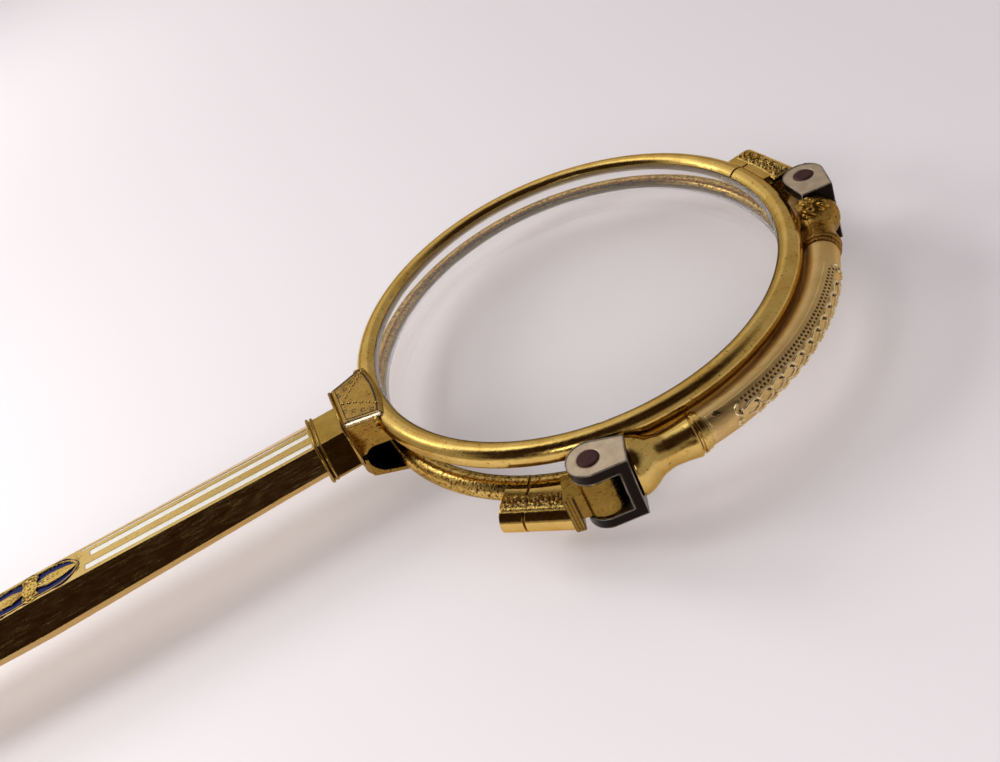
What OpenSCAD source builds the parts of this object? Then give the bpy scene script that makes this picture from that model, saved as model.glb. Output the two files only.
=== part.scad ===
// Folded French lorgnette: round lenses on a flat enamelled handle.
// Millimetres. Origin at the centre of the suspension eye's bore.
// +X runs along the handle towards the lenses, +Z is the lens normal.

/* [Lenses and rims] */

// outside radius of both rims
rim_r = 20; // [19.5:0.1:20.3]
// thickness of the rim wire
wire_d = 2; // [1.8:0.05:2.1]
// gap between the two rims when folded
rim_gap = 1.84; // [1.7:0.02:2.2]
// depth of the front rim's wire under its top, seen from the handle's axis
front_low = 0.42; // [0.36:0.02:0.5]
// depth of the groove inside the rim wire
groove_depth = 0.6; // [0.3:0.05:0.8]
// play between the lens edge and its groove
lens_play = 0.1; // [0.04:0.02:0.2]
// thickness at the middle of each lens
lens_t = 2.5; // [2.2:0.1:2.8]
// radius of the lens's outer face
lens_front_r = 200; // [150:10:400]
// radius of the lens's inner face
lens_back_r = 400; // [250:10:800]
// width of the saw cut through each rim
split_w = 0.2; // [0.1:0.05:0.4]

/* [Hinges] */

// gap between the clevis ears and the rims
ear_gap = 0.4; // [0.3:0.05:0.8]
// direction of the front rim's hinge pin
front_pin_angle = -10; // [-14:1:-6]
// direction of the rear rim's hinge pin
rear_pin_angle = -109; // [-112:1:-104]
// depth of the bridge tube's axis under the front rim's plane
bridge_drop = 1.57; // [1.4:0.01:1.7]
// radius of the hinge pins
pin_r = 0.85; // [0.6:0.05:0.9]
// radial play of the knuckle on its pin
pin_play = 0.04; // [0.02:0.01:0.08]
// height of the clevis
clevis_h = 5.6; // [5.2:0.1:6]
// thickness of the clevis ears
ear_t = 0.9; // [0.7:0.05:1]
// radius of the clevis ears round the pin
ear_r = 1.7; // [1.5:0.05:1.75]
// thickness of the clevis's back wall
clevis_wall = 0.85; // [0.6:0.05:1]
// width of the clevis's back wall
clevis_back_w = 2.6; // [2.2:0.1:3]
// half the width of the knuckle's flats
knuckle_flat = 1.34; // [1.2:0.02:1.4]
// radius of the knuckle's rounded corners
knuckle_r = 1.58; // [1.45:0.02:1.6]
// play between the knuckle and the clevis's ears
ear_play = 0.06; // [0.04:0.01:0.12]
// gap between the knuckle's corners and the clevis's back wall
back_gap = 0.27; // [0.2:0.01:0.5]
// gap between the clevis ears and the knuckle's foot
foot_gap = 0.32; // [0.25:0.01:0.5]
// thickness of the knuckle's fluted foot
foot_t = 0.7; // [0.6:0.05:1]
// height of the fluted foot past the bridge's level
foot_over = 0.6; // [0.5:0.05:1.2]
// radius of the flutes on the foot
flute_r = 0.14; // [0.1:0.01:0.18]

/* [Bridge] */

// gap between the tube and the front rim
tube_gap = 0.29; // [0.25:0.01:0.5]
// outside radius of the tube
tube_r = 1.42; // [1.2:0.02:1.45]
// wall thickness of the tube
tube_wall = 0.4; // [0.25:0.05:0.6]
// radius of the collars at the tube's ends
collar_r = 1.64; // [1.6:0.01:1.7]
// radius of the spool's waist
waist_r = 1.35; // [1.1:0.05:1.4]
// radius of the spool's bell against the clevis
bell_r = 2.3; // [1.8:0.05:2.4]
// radius of the spool's flare against the collar
flare_r = 1.58; // [1.45:0.01:1.6]
// angle from the front hinge pin to its collar's start
front_collar_angle = 18.5; // [17:0.5:20]
// angle from the rear hinge pin to its collar's start
rear_collar_angle = 20; // [18:0.5:21]
// thickness of the lip along the tube's inside
lip_t = 0.27; // [0.2:0.01:0.3]
// how far the lip reaches under the front rim
lip_reach = 1.1; // [0.5:0.05:1.2]
// length of the collar as an angle round the lens axis
collar_sweep = 2.3; // [1.5:0.1:3]

/* [Closing joints] */

// angle from the hinge pin to the rim's saw cut
split_angle = 17.2; // [16:0.2:20]
// radius of the closing barrel
barrel_r = 1.13; // [1:0.01:1.3]
// gap between the closing barrel's round and the rim
barrel_gap = 0.3; // [0.15:0.05:0.5]
// height of the front barrel's axis over the front rim's plane
front_barrel_lift = -0.4; // [-0.4:0.05:0.2]
// depth of the rear barrel's axis under the rear rim's plane
rear_barrel_drop = 0.5; // [0.2:0.05:0.5]
// length of the barrel's long half
barrel_long = 4.3; // [4:0.1:4.6]
// length of the barrel's short half
barrel_short = 2; // [1.6:0.1:2.4]
// radius of the closing screw's thread
screw_r = 0.5; // [0.4:0.05:0.6]
// radius of the closing screw's head
screw_head_r = 0.78; // [0.6:0.02:0.85]

/* [Handle] */

// half width of the handle's top face at the ferrule
top_half = 1.63; // [1.5:0.01:1.8]
// height of the handle's top face at the ferrule
top_z = 1.22; // [1.1:0.02:1.3]
// half width across the side edges at the ferrule
side_half = 3.77; // [3.5:0.01:3.9]
// half width of the handle's bottom face
bottom_half = 2.85; // [2.5:0.05:3]
// depth of the handle's bottom face at the ferrule
bottom_z = 1.13; // [1.05:0.01:1.18]
// growth of the handle's half height at the middle
swell = 0.56; // [0.3:0.02:0.7]
// wall thickness of the handle shell
shell_t = 0.7; // [0.5:0.05:0.8]
// length of the handle between its ferrules
handle_l = 53.1; // [48:0.1:56]
// length of either ferrule
ferrule_l = 2.85; // [2.4:0.05:3.2]
// how far the ferrule stands out of the handle
ferrule_lip = 0.3; // [0.2:0.05:0.4]
// half width of the ferrule at its low side edges
ferrule_side = 4.1; // [3.9:0.05:4.2]
// height of the ferrule's side edges under the handle's axis
ferrule_side_z = 0.75; // [0.5:0.05:0.95]
// distance from the ferrule to where the handle's swelling starts
swell_start = 3.7; // [3:0.1:6]

/* [Enamel] */

// depth of the enamel in the handle's top face
enamel_d = 0.3; // [0.2:0.05:0.4]
// distance from the handle's centre line to the near stripe
stripe_near = 0.96; // [0.9:0.02:1]
// distance from the handle's centre line to the far stripe
stripe_far = 0.54; // [0.45:0.02:0.6]
// width of the wide stripes
stripe_w = 0.66; // [0.5:0.02:0.7]
// width of the thin stripe at the far edge
stripe_thin_w = 0.18; // [0.12:0.02:0.24]
// half length of the medallion
medallion_l = 4.6; // [4.4:0.1:4.8]

/* [Saddle and catch] */

// height of the thumb plate's top
plate_z = 2.7; // [2.56:0.02:2.8]
// thickness of the thumb plate
plate_t = 0.5; // [0.4:0.05:0.7]
// width of the bevel round the thumb plate
plate_bevel = 0.28; // [0.15:0.01:0.35]
// half width of the thumb plate at its handle side
plate_half_back = 2.8; // [2.6:0.02:2.9]
// half width of the thumb plate at its ring side
plate_half_front = 3.8; // [3.6:0.05:3.9]
// distance from the rims to the saddle's flange
saddle_l = 2.5; // [2.5:0.02:2.8]
// distance from the rims to the thumb plate's handle side
plate_l = 2.2; // [2.1:0.02:2.2]
// how far the thumb plate's corners reach over the front rim
plate_over = 1.26; // [0.8:0.02:1.3]
// bulge of the thumb plate's edge towards the lens
plate_bulge = 0.43; // [0.2:0.01:0.5]
// thickness of the saddle's flange
flange_t = 0.3; // [0.2:0.02:0.3]
// gap between the saddle and the rear rim's catch
catch_gap = 0.3; // [0.26:0.02:0.4]
// radius of the notch's round end
notch_r = 1.2; // [1:0.05:1.25]
// distance from the rims to the centre of the notch's round end
notch_l = 0.75; // [0.6:0.05:0.8]
// height of the notch's centre line under the handle's axis
notch_z = 1.73; // [1.65:0.02:1.8]

/* [Suspension] */

// length of the turned pommel
pommel_l = 6.4; // [5:0.1:8]
// greatest radius of the turned pommel
pommel_r = 1.6; // [1.3:0.05:2]
// distance from the suspension eye to the pommel
eye_l = 4.3; // [3.4:0.1:8]
// radius of the suspension eye's bore
eye_bore_r = 1.2; // [0.8:0.05:1.4]
// outside radius of the suspension eye
eye_r = 2.3; // [2.1:0.1:2.6]
// thickness of the suspension eye
eye_t = 1.2; // [1:0.1:1.6]

/* [Hidden] */

$fn = 64;
wire_r = wire_d / 2;
front_z = front_low + wire_r;
rim_pitch = wire_d + rim_gap;
rear_z = front_z - rim_pitch;
bridge_z = front_z - bridge_drop;
wire_ring_r = rim_r - wire_r;
groove_r = wire_ring_r - wire_r + groove_depth;
pin_ring_r = rim_r + ear_gap + ear_r;
barrel_ring_r = rim_r + barrel_gap + barrel_r;
tube_reach = wire_r + tube_r + tube_gap;
tube_ring_r = wire_ring_r + sqrt(tube_reach * tube_reach - bridge_drop * bridge_drop);
tail_end_x = eye_l + pommel_l;
tail_x = tail_end_x + ferrule_l;
ferrule_x = tail_x + handle_l;
ferrule_end_x = ferrule_x + ferrule_l;
lens_x = ferrule_end_x + saddle_l + rim_r;
mid_x = (ferrule_x + tail_x) / 2;
plate_x = lens_x - rim_r - plate_l;
plate_end_x = lens_x - rim_r + plate_over;
plate_arc_r = (plate_half_front * plate_half_front + plate_bulge * plate_bulge) / (2 * plate_bulge);
rim_x = rim_r - pin_ring_r;
start_grow = 0.5 * swell_start / (ferrule_x - mid_x);
tilt = atan(swell * (1 - start_grow) / (ferrule_x - mid_x - swell_start));
foot_y = -ear_r - foot_gap;
wall_y = knuckle_r + back_gap;
back_y = wall_y + clevis_wall;
knuckle_h = clevis_h - 2 * ear_t - 2 * ear_play;
static_low = -bottom_z;
catch_top = static_low - catch_gap;
catch_low = rear_z - wire_r + 0.05;

gold = [0.74, 0.56, 0.22];
steel = [0.55, 0.52, 0.48];

// Frame of the lens axis at a height
module at_lens(z) {
  translate([lens_x, 0, z]) children();
}

// Frame of the rear hinge: +X outwards, +Y towards the bridge
module at_rear_hinge() {
  at_lens(bridge_z) rotate([0, 0, rear_pin_angle]) translate([pin_ring_r, 0, 0]) children();
}

// Frame of the front hinge: the rear one in a mirror
module at_front_hinge() {
  at_lens(bridge_z) rotate([0, 0, front_pin_angle]) translate([pin_ring_r, 0, 0]) mirror([0, 1, 0]) children();
}

// Solid ring of the rim wire
module wire_ring(z, ring_r = wire_ring_r, section_r = wire_r) {
  at_lens(z) rotate_extrude($fn = 160) translate([ring_r, 0]) circle(r = section_r, $fn = 40);
}

// Rims and lenses

module rim(z, cut_angle) {
  color(gold) difference() {
    wire_ring(z);
    at_lens(z) rotate_extrude($fn = 160) polygon([
      [wire_ring_r - wire_r - 0.5, -1.5],
      [groove_r, 0],
      [wire_ring_r - wire_r - 0.5, 1.5]
    ]);
    at_lens(z) rotate([0, 0, cut_angle]) translate([wire_ring_r, 0, 0]) cube([6, split_w, 6], center = true);
  }
}

module front_rim() {
  rim(front_z, front_pin_angle + split_angle);
}

module rear_rim() {
  rim(rear_z, rear_pin_angle - split_angle);
}

// Height of a lens face above its apex plane at a radius
function sag(r, face_r) = face_r - sqrt(face_r * face_r - r * r);

module lens(z) {
  edge_r = groove_r - lens_play;
  slope = (wire_ring_r - wire_r - 0.5 - groove_r) / 1.5;
  up = lens_t * 0.54;
  down = lens_t * 0.46;
  up_r = edge_r + (up - sag(edge_r, lens_front_r)) * slope;
  down_r = edge_r + (down - sag(edge_r, lens_back_r)) * slope;
  steps = 12;
  color([0.9, 0.93, 0.95, 0.35]) at_lens(z) rotate_extrude($fn = 160) polygon(concat(
    [for (i = [0:steps]) [down_r * i / steps, sag(down_r * i / steps, lens_back_r) - down]],
    [[edge_r, 0]],
    [for (i = [0:steps]) [up_r * (1 - i / steps), up - sag(up_r * (1 - i / steps), lens_front_r)]]
  ));
}

module front_lens() {
  lens(front_z);
}

module rear_lens() {
  lens(rear_z);
}

// Hinges

module clevis() {
  color(steel) difference() {
    union() {
      cylinder(h = clevis_h, r = ear_r, center = true);
      linear_extrude(height = clevis_h, center = true) polygon([
        [-ear_r + 0.02, 0.25],
        [ear_r - 0.02, 0.25],
        [clevis_back_w / 2, back_y],
        [-clevis_back_w / 2, back_y]
      ]);
    }
    translate([-4, -4, -clevis_h / 2 + ear_t]) cube([8, 4 + wall_y, clevis_h - 2 * ear_t]);
    cylinder(h = clevis_h + 2, r = pin_r, center = true);
  }
}

module front_clevis() {
  at_front_hinge() clevis();
}

module rear_clevis() {
  at_rear_hinge() clevis();
}

module hinge_pin() {
  color([0.36, 0.25, 0.24]) {
    cylinder(h = clevis_h, r = pin_r, center = true);
    translate([0, 0, clevis_h / 2 - 0.01]) cylinder(h = 0.09, r1 = pin_r, r2 = pin_r - 0.2);
    translate([0, 0, -clevis_h / 2 - 0.08]) cylinder(h = 0.09, r1 = pin_r - 0.2, r2 = pin_r);
  }
}

module front_hinge_pin() {
  at_front_hinge() hinge_pin();
}

module rear_hinge_pin() {
  at_rear_hinge() hinge_pin();
}

// Squared knuckle on an arm that runs to a fluted foot on the rim.
// side is +1 where the rim lies above the bridge's level, -1 below it.
module knuckle(rim_z, side) {
  rise = rim_z - bridge_z;
  foot_out = knuckle_flat - 0.2;
  foot_end = rise + side * 0.5 * wire_r;
  color(gold) difference() {
    union() {
      intersection() {
        cylinder(h = knuckle_h, r = knuckle_r, center = true);
        cube([2 * knuckle_flat, 2 * knuckle_flat, 2 * knuckle_h], center = true);
      }
      translate([-knuckle_flat, foot_y - foot_t / 2, -foot_over]) cube([knuckle_flat + 1, foot_t / 2 - foot_y, foot_over + knuckle_h / 2]);
      // foot: a plate across the rim's outside
      rotate([90, 0, 0]) translate([0, 0, -foot_y]) linear_extrude(height = foot_t) polygon([
        [rim_x - 0.65, rise - side * 0.2],
        [rim_x - 0.2, rise - side * 0.95 * wire_r],
        [-knuckle_flat, -side * foot_over],
        [foot_out - 0.1, -side * foot_over],
        [foot_out, rise - side * 0.2],
        [foot_out, foot_end],
        [rim_x + 2.3, foot_end],
        [rim_x - 0.4, rise + side * 0.4 * wire_r]
      ]);
      // flutes down the foot's outside
      for (i = [0:2]) translate([foot_out, foot_y - flute_r * (0.9 + 1.7 * i), -foot_over]) cylinder(h = foot_end + foot_over, r = flute_r);
    }
    cylinder(h = clevis_h * 2, r = pin_r + pin_play, center = true);
    translate([-pin_ring_r, 0, rise]) rotate_extrude($fn = 160) translate([wire_ring_r, 0]) circle(r = wire_r, $fn = 40);
    // clearance for the other rim and its wire
    translate([-pin_ring_r, 0, rise - side * rim_pitch - 3]) cylinder(h = 3 + wire_r + 0.35, r = rim_r + 0.35, $fn = 160);
  }
}

module front_knuckle() {
  at_front_hinge() knuckle(front_z, 1);
}

module rear_knuckle() {
  at_rear_hinge() mirror([0, 0, 1]) knuckle(2 * bridge_z - rear_z, 1);
}

// Bridge

// Frame on the tube's circle, at an angle from the pin, in a hinge's frame
module on_tube(angle) {
  translate([-pin_ring_r, 0, 0]) rotate([0, 0, angle]) translate([tube_ring_r, 0, 0]) rotate([-90, 0, 0]) children();
}

// Stretch of the tube's circle between two angles from the pin, in a hinge's frame
module ring_piece(from, to, r) {
  translate([-pin_ring_r, 0, 0]) rotate([0, 0, from]) rotate_extrude(angle = to - from, $fn = 160) translate([tube_ring_r, 0]) circle(r = r, $fn = 40);
}

// Lip along the tube's inside, about the lens axis, from the X axis
module lip(sweep) {
  lip_end = rim_r - lip_reach;
  rotate_extrude(angle = sweep, $fn = 160) translate([lip_end, 0]) square([tube_ring_r - tube_r + 0.2 - lip_end, lip_t]);
}

module spool(angle) {
  start = asin(back_y / tube_ring_r);
  run = tube_ring_r * 2 * sin((angle - start) / 2);
  color(gold) {
    difference() {
      on_tube((start + angle) / 2) translate([0, 0, -run / 2 - 0.35]) rotate_extrude() polygon([
        [0, 0],
        [bell_r, 0],
        [bell_r, 0.5],
        [bell_r - 0.3 * (bell_r - waist_r), 0.26 * run],
        [waist_r + 0.25 * (bell_r - waist_r), 0.4 * run],
        [waist_r, 0.6 * run],
        [waist_r + 0.2 * (flare_r - waist_r), 0.78 * run],
        [waist_r + 0.6 * (flare_r - waist_r), 0.94 * run],
        [flare_r, run + 0.2],
        [flare_r, run + 0.4],
        [0, run + 0.4]
      ]);
      translate([-4, back_y - 2, -4]) cube([8, 2, 8]);
      // hollows that keep clear of both rims
      for (z = [front_z, rear_z]) translate([-pin_ring_r, 0, z - bridge_z]) rotate_extrude($fn = 160) translate([wire_ring_r, 0]) circle(r = wire_r + tube_gap, $fn = 40);
    }
    ring_piece(angle, angle + collar_sweep, tube_r);
    ring_piece(angle + 0.4, angle + 0.9, collar_r);
    ring_piece(angle + 0.4, angle + collar_sweep - 0.4, 0.5 * (collar_r + tube_r));
    translate([-pin_ring_r, 0, 0]) rotate([0, 0, start]) lip(angle + collar_sweep - start);
  }
}

module front_spool() {
  at_front_hinge() spool(front_collar_angle);
}

module rear_spool() {
  at_rear_hinge() spool(rear_collar_angle);
}

// Tube with a lip along its inside, between the planes of the two rims
module bridge_tube() {
  first = rear_pin_angle + rear_collar_angle + collar_sweep;
  last = front_pin_angle - front_collar_angle - collar_sweep;
  color(gold) at_lens(bridge_z) rotate([0, 0, first]) {
    rotate_extrude(angle = last - first, $fn = 160) translate([tube_ring_r, 0]) difference() {
      circle(r = tube_r, $fn = 40);
      circle(r = tube_r - tube_wall, $fn = 40);
    }
    lip(last - first);
  }
}

// Closing joints

// Frame of a closing barrel at the saw cut, in a hinge's frame.
// Local +Z runs along the barrel away from the hinge.
module at_split(rise, drop) {
  translate([-pin_ring_r, 0, rise]) rotate([0, 0, -split_angle]) translate([barrel_ring_r, 0, drop]) rotate([90, 0, 0]) children();
}

module barrel_half(from, to, rise, drop, bore, head) {
  foot_in = barrel_gap + barrel_r + 0.5 * wire_r;
  foot_low = 0.74 * wire_r + drop;
  foot_high = max(0.7 * barrel_r, 0.75 * wire_r - drop);
  color(gold) difference() {
    at_split(rise, drop) {
      translate([0, 0, from]) cylinder(h = to - from, r = barrel_r);
      translate([-foot_in, -foot_low, from]) cube([foot_in, foot_low + foot_high, to - from]);
    }
    at_split(rise, drop) translate([0, 0, from - 1]) cylinder(h = to - from + 2, r = bore);
    at_split(rise, drop) translate([0, 0, barrel_short - 0.5]) cylinder(h = 1, r = head);
    translate([-pin_ring_r, 0, rise]) rotate_extrude($fn = 160) translate([wire_ring_r, 0]) circle(r = wire_r, $fn = 40);
    translate([-pin_ring_r, 0, rise - 3]) cylinder(h = 6, r = wire_ring_r + 0.5 * wire_r, $fn = 160);
    // flat against the knuckle's foot
    translate([-pin_ring_r / 2, foot_y - foot_t, -pin_ring_r / 2]) cube(pin_ring_r);
  }
}

module barrel_long_half(rise, drop) {
  barrel_half(-barrel_long, -split_w / 2, rise, drop, screw_r, 0.3);
}

module barrel_short_half(rise, drop) {
  barrel_half(split_w / 2, barrel_short, rise, drop, screw_r, screw_head_r);
}

module closing_screw(rise, drop) {
  color(steel) difference() {
    at_split(rise, drop) {
      translate([0, 0, -2.6]) cylinder(h = barrel_short + 2.1, r = screw_r);
      translate([0, 0, barrel_short - 0.5]) cylinder(h = 0.45, r = screw_head_r);
    }
    at_split(rise, drop) translate([-1.5, -0.12, barrel_short - 0.25]) cube([3, 0.24, 1]);
  }
}

module front_barrel_long() {
  at_front_hinge() barrel_long_half(front_z - bridge_z, front_barrel_lift);
}

module front_barrel_short() {
  at_front_hinge() barrel_short_half(front_z - bridge_z, front_barrel_lift);
}

module front_closing_screw() {
  at_front_hinge() closing_screw(front_z - bridge_z, front_barrel_lift);
}

module rear_barrel_long() {
  at_rear_hinge() mirror([0, 0, 1]) barrel_long_half(bridge_z - rear_z, rear_barrel_drop);
}

module rear_barrel_short() {
  at_rear_hinge() mirror([0, 0, 1]) barrel_short_half(bridge_z - rear_z, rear_barrel_drop);
}

module rear_closing_screw() {
  at_rear_hinge() mirror([0, 0, 1]) closing_screw(bridge_z - rear_z, rear_barrel_drop);
}

// Handle

// Thin six-sided slice of the handle; grow is 0 at the ferrules and 1 at the middle
module slice(x, grow) {
  translate([x, 0, 0]) rotate([90, 0, 90]) linear_extrude(height = 0.01) polygon([
    [-top_half - 0.08 * grow, top_z + swell * grow],
    [top_half + 0.08 * grow, top_z + swell * grow],
    [side_half + swell * grow, 0],
    [bottom_half, -bottom_z - swell * grow],
    [-bottom_half, -bottom_z - swell * grow],
    [-side_half - swell * grow, 0]
  ]);
}

// Half of the handle's body, from its middle to one end
module handle_half(end_x, dir) {
  near_x = end_x - dir * swell_start;
  hull() {
    slice(mid_x - 0.005, 1);
    slice(near_x - 0.005, start_grow);
  }
  hull() {
    slice(near_x - 0.005, start_grow);
    slice(end_x - 0.005 - dir * 0.005, 0);
  }
}

module handle_shell() {
  color(gold) difference() {
    union() {
      handle_half(ferrule_x, 1);
      handle_half(tail_x, -1);
    }
    // hollow, the same all along
    translate([tail_x - 1, 0, 0]) rotate([90, 0, 90]) linear_extrude(height = handle_l + 2) polygon([
      [-top_half, top_z - shell_t],
      [top_half, top_z - shell_t],
      [side_half - 1.6 * shell_t, 0],
      [bottom_half - 0.6 * shell_t, shell_t - bottom_z],
      [-bottom_half + 0.6 * shell_t, shell_t - bottom_z],
      [-side_half + 1.6 * shell_t, 0]
    ]);
    stripe_bars(enamel_d + 0.5);
    medallion_plate(enamel_d + 0.5);
  }
}

// Enamel bars that follow the handle's sloping top face
module stripe_bar(y, w, from, tall) {
  for (dir = [0, 1]) translate([mid_x, 0, top_z + swell]) mirror([dir, 0, 0]) rotate([0, tilt, 0]) translate([from, y - w / 2, -enamel_d]) cube([ferrule_x - mid_x - from - 0.2, w, tall]);
}

module stripe_bars(tall) {
  stripe_bar(-stripe_near, stripe_w, medallion_l + 0.5, tall);
  stripe_bar(stripe_far, stripe_w, medallion_l + 1, tall);
  stripe_bar(top_half - 0.22, stripe_thin_w, medallion_l + 0.2, tall);
}

module stripe_enamel() {
  color([0.91, 0.9, 0.86]) stripe_bars(enamel_d - 0.04);
}

// Lobed plate of the medallion, sunk in the middle of the top face
module medallion_plate(tall) {
  translate([mid_x, 0, top_z + swell - enamel_d - 0.1]) {
    for (dir = [-1, 1]) translate([dir * (medallion_l - 1.9), 0, 0]) cylinder(h = tall, r = 1.6);
    for (dir = [-1, 1]) translate([dir * (medallion_l - 0.9), 0, 0]) cylinder(h = tall, r = 0.9);
    cylinder(h = tall, r = 1.64);
    translate([-1.9, -1.3, 0]) cube([3.8, 2.6, tall]);
  }
}

module medallion_enamel() {
  color([0.1, 0.14, 0.44]) medallion_plate(enamel_d - 0.04);
}

// Pointed leaf between two arcs
module leaf(l, w, h) {
  r = (l * l + w * w) / (4 * w);
  intersection() {
    translate([0, r - w / 2, 0]) cylinder(h = h, r = r, $fn = 96);
    translate([0, w / 2 - r, 0]) cylinder(h = h, r = r, $fn = 96);
  }
}

module medallion_ornament() {
  color(gold) translate([mid_x, 0, top_z + swell - 0.14]) {
    cylinder(h = 0.2, r = 0.75);
    for (dir = [0, 180]) rotate([0, 0, dir]) {
      translate([medallion_l / 2 + 0.1, 0, 0]) leaf(medallion_l - 0.4, 1.1, 0.14);
      translate([medallion_l - 1.2, 0, 0]) cylinder(h = 0.15, r = 0.42);
    }
    for (dir = [90, 270]) rotate([0, 0, dir]) translate([0.85, 0, 0]) leaf(1.5, 1.3, 0.14);
  }
}

// Six-sided collar round the handle's end
module ferrule_body(from, to, lip) {
  translate([from, 0, 0]) rotate([90, 0, 90]) linear_extrude(height = to - from) polygon([
    [-top_half - ferrule_lip - lip, top_z + 0.24 + lip],
    [top_half + ferrule_lip + lip, top_z + 0.24 + lip],
    [ferrule_side + lip, -ferrule_side_z],
    [ferrule_side - 0.25 + lip, -bottom_z],
    [-ferrule_side + 0.25 - lip, -bottom_z],
    [-ferrule_side - lip, -ferrule_side_z]
  ]);
}

module ferrule() {
  color(gold) {
    ferrule_body(ferrule_x, ferrule_end_x, 0);
    ferrule_body(ferrule_x, ferrule_x + 0.25, 0.16);
    ferrule_body(ferrule_x + 0.4, ferrule_x + 0.62, 0.12);
  }
}

module tail_ferrule() {
  color(gold) {
    ferrule_body(tail_end_x, tail_x, 0);
    ferrule_body(tail_x - 0.25, tail_x, 0.16);
    ferrule_body(tail_x - 0.62, tail_x - 0.4, 0.12);
  }
}

// Turned end knob
module pommel() {
  color(gold) translate([tail_end_x, 0, 0]) rotate([0, -90, 0]) rotate_extrude() polygon([
    [0, 0],
    [0.84 * pommel_r, 0],
    [0.9 * pommel_r, 0.05 * pommel_l],
    [0.81 * pommel_r, 0.11 * pommel_l],
    [0.56 * pommel_r, 0.16 * pommel_l],
    [0.53 * pommel_r, 0.22 * pommel_l],
    [0.81 * pommel_r, 0.3 * pommel_l],
    [pommel_r, 0.42 * pommel_l],
    [0.97 * pommel_r, 0.56 * pommel_l],
    [0.75 * pommel_r, 0.7 * pommel_l],
    [0.5 * pommel_r, 0.78 * pommel_l],
    [0.49 * pommel_r, 0.84 * pommel_l],
    [0.66 * pommel_r, 0.89 * pommel_l],
    [0.66 * pommel_r, 0.95 * pommel_l],
    [0.5 * pommel_r, pommel_l],
    [0, pommel_l]
  ]);
}

module suspension_eye() {
  color(gold) difference() {
    union() {
      rotate([90, 0, 0]) cylinder(h = eye_t, r = eye_r, center = true);
      translate([0, -eye_t / 2, -0.75]) cube([eye_l, eye_t, 1.5]);
    }
    rotate([90, 0, 0]) cylinder(h = eye_t + 2, r = eye_bore_r, center = true);
  }
}

// Saddle, thumb plate and catch

// Wedge that widens towards the rims and ends in a shallow arc
module plate_outline(inset) {
  intersection() {
    polygon([
      [plate_x + inset, -plate_half_back + inset],
      [plate_end_x + 1, -plate_half_front - 0.29 + inset],
      [plate_end_x + 1, plate_half_front + 0.29 - inset],
      [plate_x + inset, plate_half_back - inset]
    ]);
    translate([plate_end_x + plate_bulge - plate_arc_r, 0]) circle(r = plate_arc_r - inset, $fn = 160);
  }
}

module thumb_plate() {
  under = plate_z - plate_t;
  color(gold) difference() {
    hull() {
      translate([0, 0, under]) linear_extrude(height = plate_t - plate_bevel) plate_outline(0);
      translate([0, 0, under]) linear_extrude(height = plate_t) plate_outline(plate_bevel);
    }
    wire_ring(front_z);
  }
}

// Slot for the finger nail, open towards the near side and the rims
module notch() {
  translate([lens_x - rim_r - notch_l, 1, -notch_z]) {
    rotate([90, 0, 0]) cylinder(h = 2 * plate_half_front, r = notch_r);
    translate([0, -2 * plate_half_front, -notch_r]) cube([3 * plate_l, 2 * plate_half_front, 2 * notch_r]);
  }
}

module saddle_block() {
  under = plate_z - plate_t;
  color(gold) difference() {
    union() {
      translate([0, 0, static_low]) linear_extrude(height = under - static_low) plate_outline(0);
      // flange against the ferrule
      translate([ferrule_end_x, 0, 0]) rotate([90, 0, 90]) linear_extrude(height = flange_t) polygon([
        [-plate_half_back, plate_z - 0.3],
        [plate_half_back, plate_z - 0.3],
        [ferrule_side + 0.12, -ferrule_side_z],
        [ferrule_side - 0.15, static_low],
        [-ferrule_side + 0.15, static_low],
        [-ferrule_side - 0.12, -ferrule_side_z]
      ]);
    }
    at_lens(-clevis_h) cylinder(h = 2 * clevis_h, r = wire_ring_r + 0.3 * wire_r, $fn = 160);
    wire_ring(front_z);
    notch();
  }
}

// Hook on the rear rim, with the notch's lower part
module rear_catch() {
  color(gold) difference() {
    translate([0, 0, catch_low]) linear_extrude(height = catch_top - catch_low) polygon([
      [plate_x - 0.5, -plate_half_back + 0.74],
      [plate_x, -plate_half_back - 0.36],
      [lens_x - rim_r + 0.6, -plate_half_front - 0.75],
      [lens_x - rim_r + 1.6, -plate_half_front - 0.85],
      [lens_x - rim_r + 1.6, plate_half_front - 0.35],
      [plate_x, plate_half_back - 0.14],
      [plate_x - 0.5, plate_half_back - 0.94]
    ]);
    notch();
    at_lens(rear_z - clevis_h) cylinder(h = 2 * clevis_h, r = wire_ring_r + 0.2 * wire_r, $fn = 160);
    wire_ring(rear_z);
  }
}

handle_shell();
stripe_enamel();
medallion_enamel();
medallion_ornament();
ferrule();
tail_ferrule();
pommel();
suspension_eye();
saddle_block();
thumb_plate();
front_rim();
front_lens();
front_knuckle();
front_barrel_long();
front_barrel_short();
front_closing_screw();
front_clevis();
front_hinge_pin();
front_spool();
bridge_tube();
rear_spool();
rear_clevis();
rear_hinge_pin();
rear_rim();
rear_lens();
rear_knuckle();
rear_barrel_long();
rear_barrel_short();
rear_closing_screw();
rear_catch();
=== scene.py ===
"""Folded lorgnette: gold plated rims, steel hinges and an enamelled handle, dressed and lit."""

from __future__ import annotations

import logging
import math
from dataclasses import dataclass, field
from enum import Enum
from typing import Callable, Protocol

import bmesh
import bpy
import numpy as np
from mathutils import Matrix, Vector


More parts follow.
